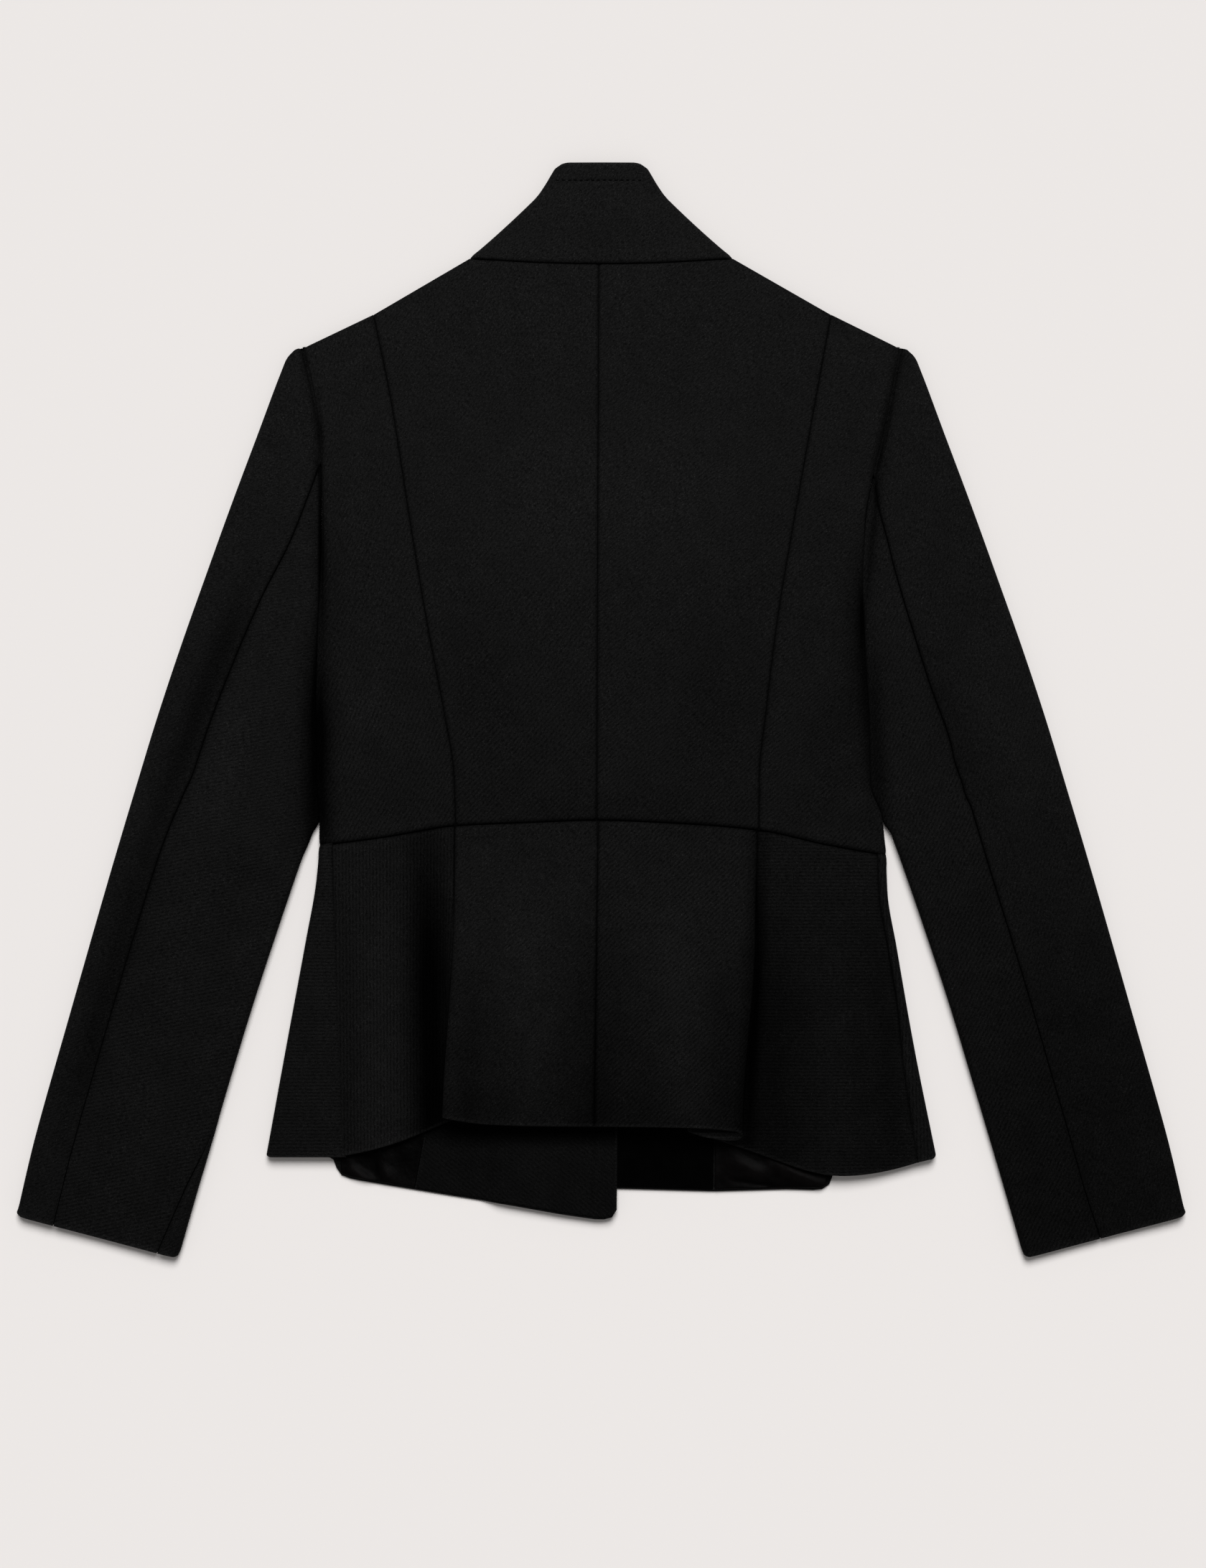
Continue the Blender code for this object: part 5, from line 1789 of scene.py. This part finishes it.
@dataclass(frozen=True)
class Sleeves(Assembly):
    """Upper and under sleeves of both arms."""

    form: SleeveForm
    wool: Finish
    napped: Finish
    step: float = 4.0
    roll_step: float = 0.9
    under_step: float = 9.0
    guide_row: float = 3.5
    tip_step: float = 1.0
    upper_guide: float = 0.97
    grains: tuple = (76.0, 104.0)
    upper_wales: tuple = (35.0, 55.0)
    under_wales: tuple = (26.0, 48.0)
    tip_lap: float = 0.06
    seam_strength: Line = Line((-400.0, -280.0, -60.0, 400.0), (0.3, 0.35, 1.0, 1.0))
    # These creases also paint shade by their depth, a dark valley by the armholes and a darker lower right
    # sleeve, and painted highlight where the depth is negative
    creases: tuple = (
        Crease(-224.0, 120.0, -306.0, -100.0, 10.0, 2.0),
        Crease(-277.0, -10.0, -376.0, -340.0, 9.0, 1.6),
        Crease(-225.0, 40.0, -275.0, -110.0, 16.0, -0.7),
        Crease(-190.0, 80.0, -192.0, -150.0, 10.0, 3.4),
        Crease(-216.0, 320.0, -181.0, 150.0, 1.7, 2.2),
        Crease(-189.0, 235.0, -186.5, 40.0, 1.7, 2.0),
        Crease(-187.5, 180.0, -189.0, -60.0, 5.0, 1.4),
        Crease(215.0, 305.0, 172.0, 105.0, 1.6, 1.0),
        Crease(190.0, 195.0, 172.0, 25.0, 1.6, 0.8),
        Crease(-215.0, -120.0, -262.0, -96.0, 9.0, 0.5),
        Crease(-222.0, -150.0, -280.0, -118.0, 8.0, 0.45),
        Crease(-300.0, 20.0, -330.0, -110.0, 14.0, -0.4),
        Crease(-330.0, -190.0, -290.0, -215.0, 12.0, 0.35),
        Crease(212.0, 60.0, 262.0, -90.0, 9.0, 0.8),
        Crease(179.0, 80.0, 188.0, -130.0, 7.0, 2.2),
        Crease(215.0, 305.0, 172.0, 105.0, 5.0, 1.0),
        Crease(190.0, 195.0, 172.0, 25.0, 4.5, 1.2),
        Crease(212.0, -118.0, 252.0, -98.0, 9.0, 0.5),
        Crease(222.0, -152.0, 275.0, -122.0, 8.0, 0.4),
        Crease(250.0, 80.0, 300.0, -80.0, 22.0, -0.5),
        Crease(290.0, -60.0, 345.0, -600.0, 70.0, 0.9),
        Crease(330.0, -190.0, 290.0, -215.0, 12.0, 0.35),
    )

    def shells(self) -> list:
        """List the sleeves' shells.

        Returns:
            Shells with their finishes.
        """
        form = self.form
        made = []
        for hand, grain, upper, under in zip(Hand, self.grains, self.upper_wales, self.under_wales):
            tip = form.seams(hand).tip
            made.append(
                (
                    Shell(
                        "sleeve_upper_" + hand.word,
                        form.upper(hand),
                        [
                            Run(0.0, 1.0, self.roll_step),
                            Run(1.0, 2.0, self.under_step),
                            Run(2.0, 4.0, self.roll_step),
                            Run(4.0, 5.0, self.step),
                        ],
                        [
                            Run(0.0, tip, self.step),
                            Run(tip, tip + form.tip_rows, self.tip_step),
                            Run(tip + form.tip_rows, form.last_row, self.step),
                        ],
                        form.body.wall,
                        (Rim.SEAM, Rim.SEAM, Rim.HEM, Rim.SEAM),
                        self.creases,
                        guide=self.upper_guide,
                        grain=grain,
                        wale=upper,
                        middle=(4.0, self.guide_row),
                        strength=self.seam_strength,
                        rests_on=(FLOOR,),
                    ),
                    self.napped,
                )
            )
            made.append(
                (
                    Shell(
                        "sleeve_under_" + hand.word,
                        form.under(hand),
                        [Run(0.0, 1.0, self.step), Run(1.0, 2.0, self.roll_step)],
                        [Run(0.0, tip + self.tip_lap, self.step)],
                        form.body.wall,
                        (Rim.SEAM, Rim.SEAM, Rim.HEM, Rim.LAP),
                        self.creases,
                        grain=grain,
                        wale=under,
                        middle=(0.5, self.guide_row),
                        strength=self.seam_strength,
                        rests_on=("sleeve_upper_" + hand.word,),
                    ),
                    self.wool,
                )
            )
        return made


@dataclass(frozen=True)
class Collar(Assembly):
    """Stand collar with one row of stitches near its top."""

    form: CollarForm
    wool: Finish
    thread: Finish
    step: float = 3.0
    under_step: float = 6.0
    roll_step: float = 0.9
    top_from: float = 0.7
    top_step: float = 1.0
    wale: float = 45.0
    stitch_y: float = 354.6
    stitch_from: float = -31.0
    stitch_to: float = 31.0
    stitch_pitch: float = 3.9
    stitch_length: float = 2.7
    stitch_radius: float = 0.45
    stitch_taper: float = 0.96
    stitch_sink: float = 0.45
    stitch_fall: float = 40.0
    stitch_sides: int = 8
    stitch_rings: int = 6
    # These creases also paint shade by their depth, and painted highlight where it is negative
    creases: tuple = (
        Crease(-34.0, 354.6, 34.5, 354.6, 0.9, 0.5),
        Crease(-60.0, 318.0, 58.0, 322.0, 12.0, 0.35),
        Crease(-30.0, 300.0, -18.0, 350.0, 12.0, -0.3),
        Crease(34.0, 302.0, 22.0, 348.0, 12.0, -0.3),
    )

    def shells(self) -> list:
        """List the collar's shell.

        Returns:
            Shells with their finishes.
        """
        shell = Shell(
            "collar",
            self.form.surface,
            [
                Run(0.0, 1.0, self.under_step),
                Run(1.0, 2.0, self.roll_step),
                Run(2.0, 3.0, self.step),
                Run(3.0, 4.0, self.roll_step),
                Run(4.0, 5.0, self.under_step),
            ],
            [Run(0.0, self.top_from, self.step), Run(self.top_from, 1.0, self.top_step)],
            self.form.wall,
            (Rim.LAP, Rim.LAP, Rim.SEAM, Rim.HEM),
            self.creases,
            guide=0.5,
            wale=self.wale,
            middle=(2.5, 0.3),
            rests_on=("front_left", "front_right"),
        )
        return [(shell, self.wool)]

    def stitches(self) -> bpy.types.Object:
        """Make the row of stitches, each a small closed spindle in the groove.

        Returns:
            The object.
        """
        count = int((self.stitch_to - self.stitch_from) / self.stitch_pitch)
        turn = np.linspace(0.0, 2.0 * math.pi, self.stitch_sides, endpoint=False)
        share = np.linspace(-1.0, 1.0, self.stitch_rings)
        swell = self.stitch_radius * np.sqrt(1.0 - self.stitch_taper * share**2)
        x = np.repeat(share * 0.5 * self.stitch_length, self.stitch_sides)
        y = (swell[:, None] * np.cos(turn)).ravel()
        z = (swell[:, None] * np.sin(turn)).ravel()
        height = self.form.top_height + self.form.crown
        sides = self.stitch_sides
        vertices = []
        faces = []
        for number in range(count):
            base = len(vertices)
            middle = self.stitch_from + (number + 0.5) * self.stitch_pitch
            level = height - self.stitch_sink - 0.5 * (middle / self.stitch_fall) ** 2 * self.form.crown
            vertices += (np.stack([x + middle, y + self.stitch_y, z + level], axis=-1) * MM).tolist()
            for ring in range(self.stitch_rings - 1):
                for side in range(sides):
                    after = (side + 1) % sides
                    low = base + ring * sides
                    faces.append([low + side, low + sides + side, low + sides + after, low + after])
            faces.append([base + side for side in range(sides)])
            faces.append([base + (self.stitch_rings - 1) * sides + side for side in reversed(range(sides))])
        return new_piece("collar_stitches", vertices, faces)

    def build(self) -> None:
        """Build and dress the collar and its stitches."""
        super().build()
        piece = self.stitches()
        piece.data.materials.append(self.thread.material())
        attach(piece, BODY)
        LOG.info("%s: %d faces", piece.name, len(piece.data.polygons))


@dataclass(frozen=True)
class Peplum(Assembly):
    """Back and side panels of the peplum with their flutes, and the fronts that turn under."""

    form: PeplumForm
    wool: Finish
    napped: Finish
    ribbed: Finish
    step: float = 2.5
    row_step: float = 3.0
    roll_step: float = 0.9
    under_step: float = 6.0
    front_guide: float = 0.08
    tuck: float = 0.006
    seam_lap: float = 0.15
    seam_lines: tuple = (0.005, 0.094, 0.0022, 0.094, 0.0075)
    wales: tuple = (90.0, 45.0, 45.0, 0.0)
    front_wales: tuple = (0.0, 82.0)
    # The peplum's creases also paint shade by their depth, dark flute valleys and a darker hem, and painted
    # highlight on the ridges
    back_creases: tuple = (
        Crease(-3.0, -90.0, -3.0, -330.0, 14.0, 0.8),
        Crease(42.0, -100.0, 62.0, -340.0, 17.0, -1.2),
        Crease(-54.0, -100.0, -42.0, -340.0, 17.0, -1.1),
        Crease(-84.0, -160.0, -90.0, -330.0, 9.0, 0.7),
        Crease(84.0, -150.0, 84.0, -330.0, 9.0, 0.6),
        Crease(111.0, 0.0, 88.0, -400.0, 7.0, 1.8),
        Crease(-190.0, -300.0, 190.0, -304.0, 72.0, 1.6),
    )
    side_creases: tuple = (
        Crease(-120.0, 0.0, -107.0, -480.0, 14.0, 3.8),
        Crease(-148.0, -100.0, -146.0, -380.0, 16.0, -0.7),
        Crease(-172.0, -100.0, -168.0, -380.0, 8.0, 0.7),
        Crease(112.0, -60.0, 112.0, -480.0, 21.0, 1.8),
        Crease(112.0, 0.0, 92.0, -400.0, 5.5, 2.2),
        Crease(160.0, -20.0, 170.0, -460.0, 46.0, 1.0),
        Crease(152.0, -100.0, 160.0, -390.0, 12.0, -0.5),
        Crease(186.0, -110.0, 200.0, -380.0, 10.0, 0.7),
    )
    front_creases: tuple = (
        Crease(-122.0, -95.0, -112.0, -222.0, 16.0, 0.6),
        Crease(-150.0, -100.0, -146.0, -215.0, 12.0, 0.4),
        Crease(-88.0, -92.0, -92.0, -205.0, 13.0, 0.45),
        Crease(112.0, -98.0, 108.0, -220.0, 17.0, 0.6),
        Crease(74.0, -92.0, 62.0, -208.0, 12.0, 0.5),
        Crease(146.0, -100.0, 150.0, -212.0, 13.0, 0.4),
    )

    def shells(self) -> list:
        """List the peplum's shells.

        Returns:
            Shells with their finishes.
        """
        form = self.form
        names = ("peplum_side_left", "peplum_back_left", "peplum_back_right", "peplum_side_right")
        ends = ("left seam", "left fold", "centre", "right fold", "right seam")
        finishes = (self.ribbed, self.napped, self.wool, self.ribbed)
        guides = (0.2, 0.7, 0.3, 0.9)
        under = ("peplum_front_left", "facing_left", "facing_left", "peplum_front_right")
        creases = (self.side_creases, self.back_creases, self.back_creases, self.side_creases)
        made = []
        for place, name in enumerate(names):
            start = form.number(ends[place]) + self.seam_lines[place]
            stop = form.number(ends[place + 1]) - self.seam_lines[place + 1]
            shell = Shell(
                name,
                form.top(),
                [Run(start, stop, self.step)],
                [Run(0.0, 1.0, self.row_step)],
                form.wall,
                (Rim.SEAM, Rim.SEAM, Rim.DEEP, Rim.HEM),
                creases[place],
                guide=guides[place],
                wale=self.wales[place],
                middle=(start + guides[place] * (stop - start), 1.0),
                rests_on=(under[place],),
            )
            made.append((shell, finishes[place]))
        for hand, wale in zip(Hand, self.front_wales):
            hem = hand.pick(form.hem_left, form.hem_right)
            shell = Shell(
                "peplum_front_" + hand.word,
                form.front(hand),
                [
                    Run(-self.seam_lap, 1.0, self.step),
                    Run(1.0, 3.0, self.roll_step),
                    Run(3.0, 3.0 + len(hem), self.under_step),
                ],
                [Run(-self.tuck, 1.0, self.row_step)],
                form.body.wall,
                (Rim.SEAM, Rim.LAP, Rim.DEEP, Rim.HEM),
                self.front_creases,
                guide=self.front_guide,
                under_share=1.0,
                wale=wale,
                middle=(1.0, 1.0),
                rests_on=(FLOOR,),
            )
            made.append((shell, self.ribbed))
        return made


class Inside(NamedTuple):
    """A facing or lining, between two under columns of its peplum front that lean by some columns."""

    node: str
    hand: Hand
    start: float
    start_lean: float
    stop: float
    stop_lean: float
    wale: float
    creases: tuple


@dataclass(frozen=True)
class Insides(Assembly):
    """Facings and linings that show below the back hem, each on the inside of a peplum front."""

    form: PeplumForm
    facing: Finish
    satin: Finish
    shade: Finish
    step: float = 1.5
    first_row: float = 0.6
    hem_turn: float = 1.6
    hem_length: float = 240.0
    give: float = 0.5
    span_gap: float = 0.012
    # Each piece's creases paint shade by their depth and painted highlight where it is negative; the give
    # keeps most of the depth out of the shape
    pieces: tuple = (
        Inside(
            "lining_left", Hand.LEFT, 2.8, 0.0, 5.34, 0.8, 30.0,
            (
                Crease(-172.0, -304.0, -150.0, -318.0, 3.5, -1.2),
                Crease(-152.0, -300.0, -138.0, -318.0, 4.0, -1.0),
                Crease(-170.0, -296.0, -142.0, -311.0, 5.0, 1.2),
                Crease(-132.0, -270.0, -126.0, -322.0, 8.0, 1.4),
            ),
        ),
        Inside(
            "facing_left", Hand.LEFT, 5.34, 0.8, 10.6, 0.0, -38.0,
            (
                # Painted shadow of the back hem across the top of the facing
                Crease(-330.0, -275.0, 210.0, -283.0, 9.0, 2.6),
                Crease(-2.6, -255.0, -7.6, -345.0, 0.9, 0.5),
                Crease(-120.0, -290.0, -60.0, -330.0, 22.0, 0.3),
                Crease(-60.0, -280.0, -30.0, -338.0, 16.0, -0.3),
            ),
        ),
        Inside(
            "lining_right", Hand.RIGHT, 3.2, 0.0, 6.0, 0.0, 30.0,
            (
                Crease(106.0, -300.0, 158.0, -321.0, 4.5, -1.7),
                Crease(80.0, -296.0, 120.0, -315.0, 6.0, -0.9),
                Crease(90.0, -294.0, 112.0, -305.0, 4.0, 1.2),
                Crease(82.0, -313.5, 126.0, -320.0, 1.6, 0.9),
                Crease(73.5, -262.0, 77.0, -335.0, 1.4, -0.9),
            ),
        ),
        Inside(
            "facing_right", Hand.RIGHT, 6.0, 0.0, 7.93, 0.0, 20.0,
            (Crease(60.0, -270.0, 20.0, -322.0, 10.0, 0.3),),
        ),
    )

    def lifted(self, piece: Inside) -> Surface:
        """Lay a piece on the inside of its peplum front.

        Args:
            piece: The facing or lining.

        Returns:
            Its surface, from the side (0) to the front (1), by row of the peplum front.
        """
        outside = self.form.front(piece.hand)
        body = self.form.body
        distance = body.wall + body.lay_gap + body.facing_wall
        first = piece.start + self.form.first_column + self.span_gap
        last = piece.stop + self.form.first_column - self.span_gap

        def surface(across: Grid, along: Grid) -> Grid:
            """Evaluate the surface.

            Args:
                across: Place across the panel.
                along: Share of the way along it.

            Returns:
                The points.
            """
            start = first + piece.start_lean * (1.0 - along)
            stop = last + piece.stop_lean * (1.0 - along)
            column = start + across * (stop - start)
            normal = normals_of(outside, column, along)
            return outside(column, along) + distance * normal * np.sign(normal[..., 2:])

        return surface

    def shells(self) -> list:
        """List the facings' and linings' shells.

        Returns:
            Shells with their finishes.
        """
        finishes = {"lining_left": self.satin, "lining_right": self.satin, "facing_left": self.facing}
        made = []
        for piece in self.pieces:
            shell = Shell(
                piece.node,
                self.lifted(piece),
                [Run(0.0, 1.0, self.step)],
                [Run(self.first_row, 1.0 - self.hem_turn / self.hem_length, self.step)],
                self.form.body.facing_wall,
                (Rim.LAP,) * 4,
                piece.creases,
                guide=0.5,
                give=self.give,
                under_share=1.0,
                wale=piece.wale,
                middle=(0.5, 1.0),
                rests_on=("peplum_front_" + piece.hand.word,),
            )
            made.append((shell, finishes.get(piece.node, self.shade)))
        return made


@dataclass(frozen=True)
class Studio:
    """Pale paper floor, soft even light and a camera straight above, as the photograph is taken."""

    floor_half_m: float = 6.0
    frame_mm: tuple = (806.4, 1048.3)
    centre_mm: tuple = (1.2, -49.0)
    plane_mm: float = 8.0
    distance_m: float = 2.6
    sensor_mm: float = 36.0
    sun_strength: float = 3.0
    sun_softness: float = math.radians(34.0)
    sun_tilt: float = math.radians(36.0)
    sun_turn: float = math.radians(-4.0)
    sky: str = "#fffefd"
    sky_strength: float = 0.23

    def floor(self) -> None:
        """Lay the paper."""
        bpy.ops.object.select_all(action="DESELECT")
        bpy.ops.mesh.primitive_plane_add(size=2.0 * self.floor_half_m, location=(0.0, 0.0, 0.0))
        floor = bpy.context.object
        floor.name = FLOOR
        floor.data.transform(floor.matrix_world)
        floor.matrix_world.identity()
        floor.data.materials.append(Paper("cream_paper", "").material())

    def lights(self) -> None:
        """Light the room softly, with a broad key from the collar's side."""
        scene = bpy.context.scene
        world = bpy.data.worlds.new("studio_sky")
        world.use_nodes = True
        sky = world.node_tree.nodes["Background"]
        sky.inputs["Color"].default_value = linear(self.sky)
        sky.inputs["Strength"].default_value = self.sky_strength
        scene.world = world
        sun = bpy.data.lights.new("soft_key", "SUN")
        sun.energy = self.sun_strength
        sun.angle = self.sun_softness
        key = bpy.data.objects.new("soft_key", sun)
        key.rotation_euler = (-self.sun_tilt, 0.0, self.sun_turn)
        scene.collection.objects.link(key)
        scene.view_settings.view_transform = "Standard"
        scene.view_settings.look = "None"

    def camera(self) -> None:
        """Look straight down at the coat."""
        lens = bpy.data.cameras.new("overhead")
        lens.sensor_width = self.sensor_mm
        lens.lens = self.sensor_mm * self.distance_m / (self.frame_mm[1] * MM)
        camera = bpy.data.objects.new("overhead", lens)
        x, y = self.centre_mm
        camera.location = (x * MM, y * MM, self.distance_m + self.plane_mm * MM)
        bpy.context.scene.collection.objects.link(camera)
        bpy.context.scene.camera = camera

    def build(self) -> None:
        """Set up the floor, the lights and the camera."""
        self.floor()
        self.lights()
        self.camera()


def main() -> None:
    """Build the coat and the studio."""
    logging.basicConfig(level=logging.INFO, format="%(message)s")
    wool = WoolTwill("black_wool_twill", "wool_twill")
    napped = WoolTwill("napped_wool_twill", "wool_twill", wale_share=0.05)
    ribbed = WoolTwill("ribbed_wool_twill", "wool_twill", wale_share=0.11, wale_mm=2.3)
    facing = WoolTwill("plain_wool_facing", "facing_wool", light="#111111", fleck="#202020")
    satin = Satin("satin_lining", "satin")
    shade = Satin("smooth_facing", "satin", colour="#020202", roughness=0.7, gloss=0.01)
    body = BodyForm()
    peplum = PeplumForm(body)
    Body(body, wool).build()
    Sleeves(SleeveForm(body), wool, napped).build()
    Collar(CollarForm(body), napped, Thread("sewing_thread", "wool_twill")).build()
    Peplum(peplum, wool, napped, ribbed).build()
    Insides(peplum, facing, satin, shade).build()
    Studio().build()


if __name__ == "__main__":
    main()
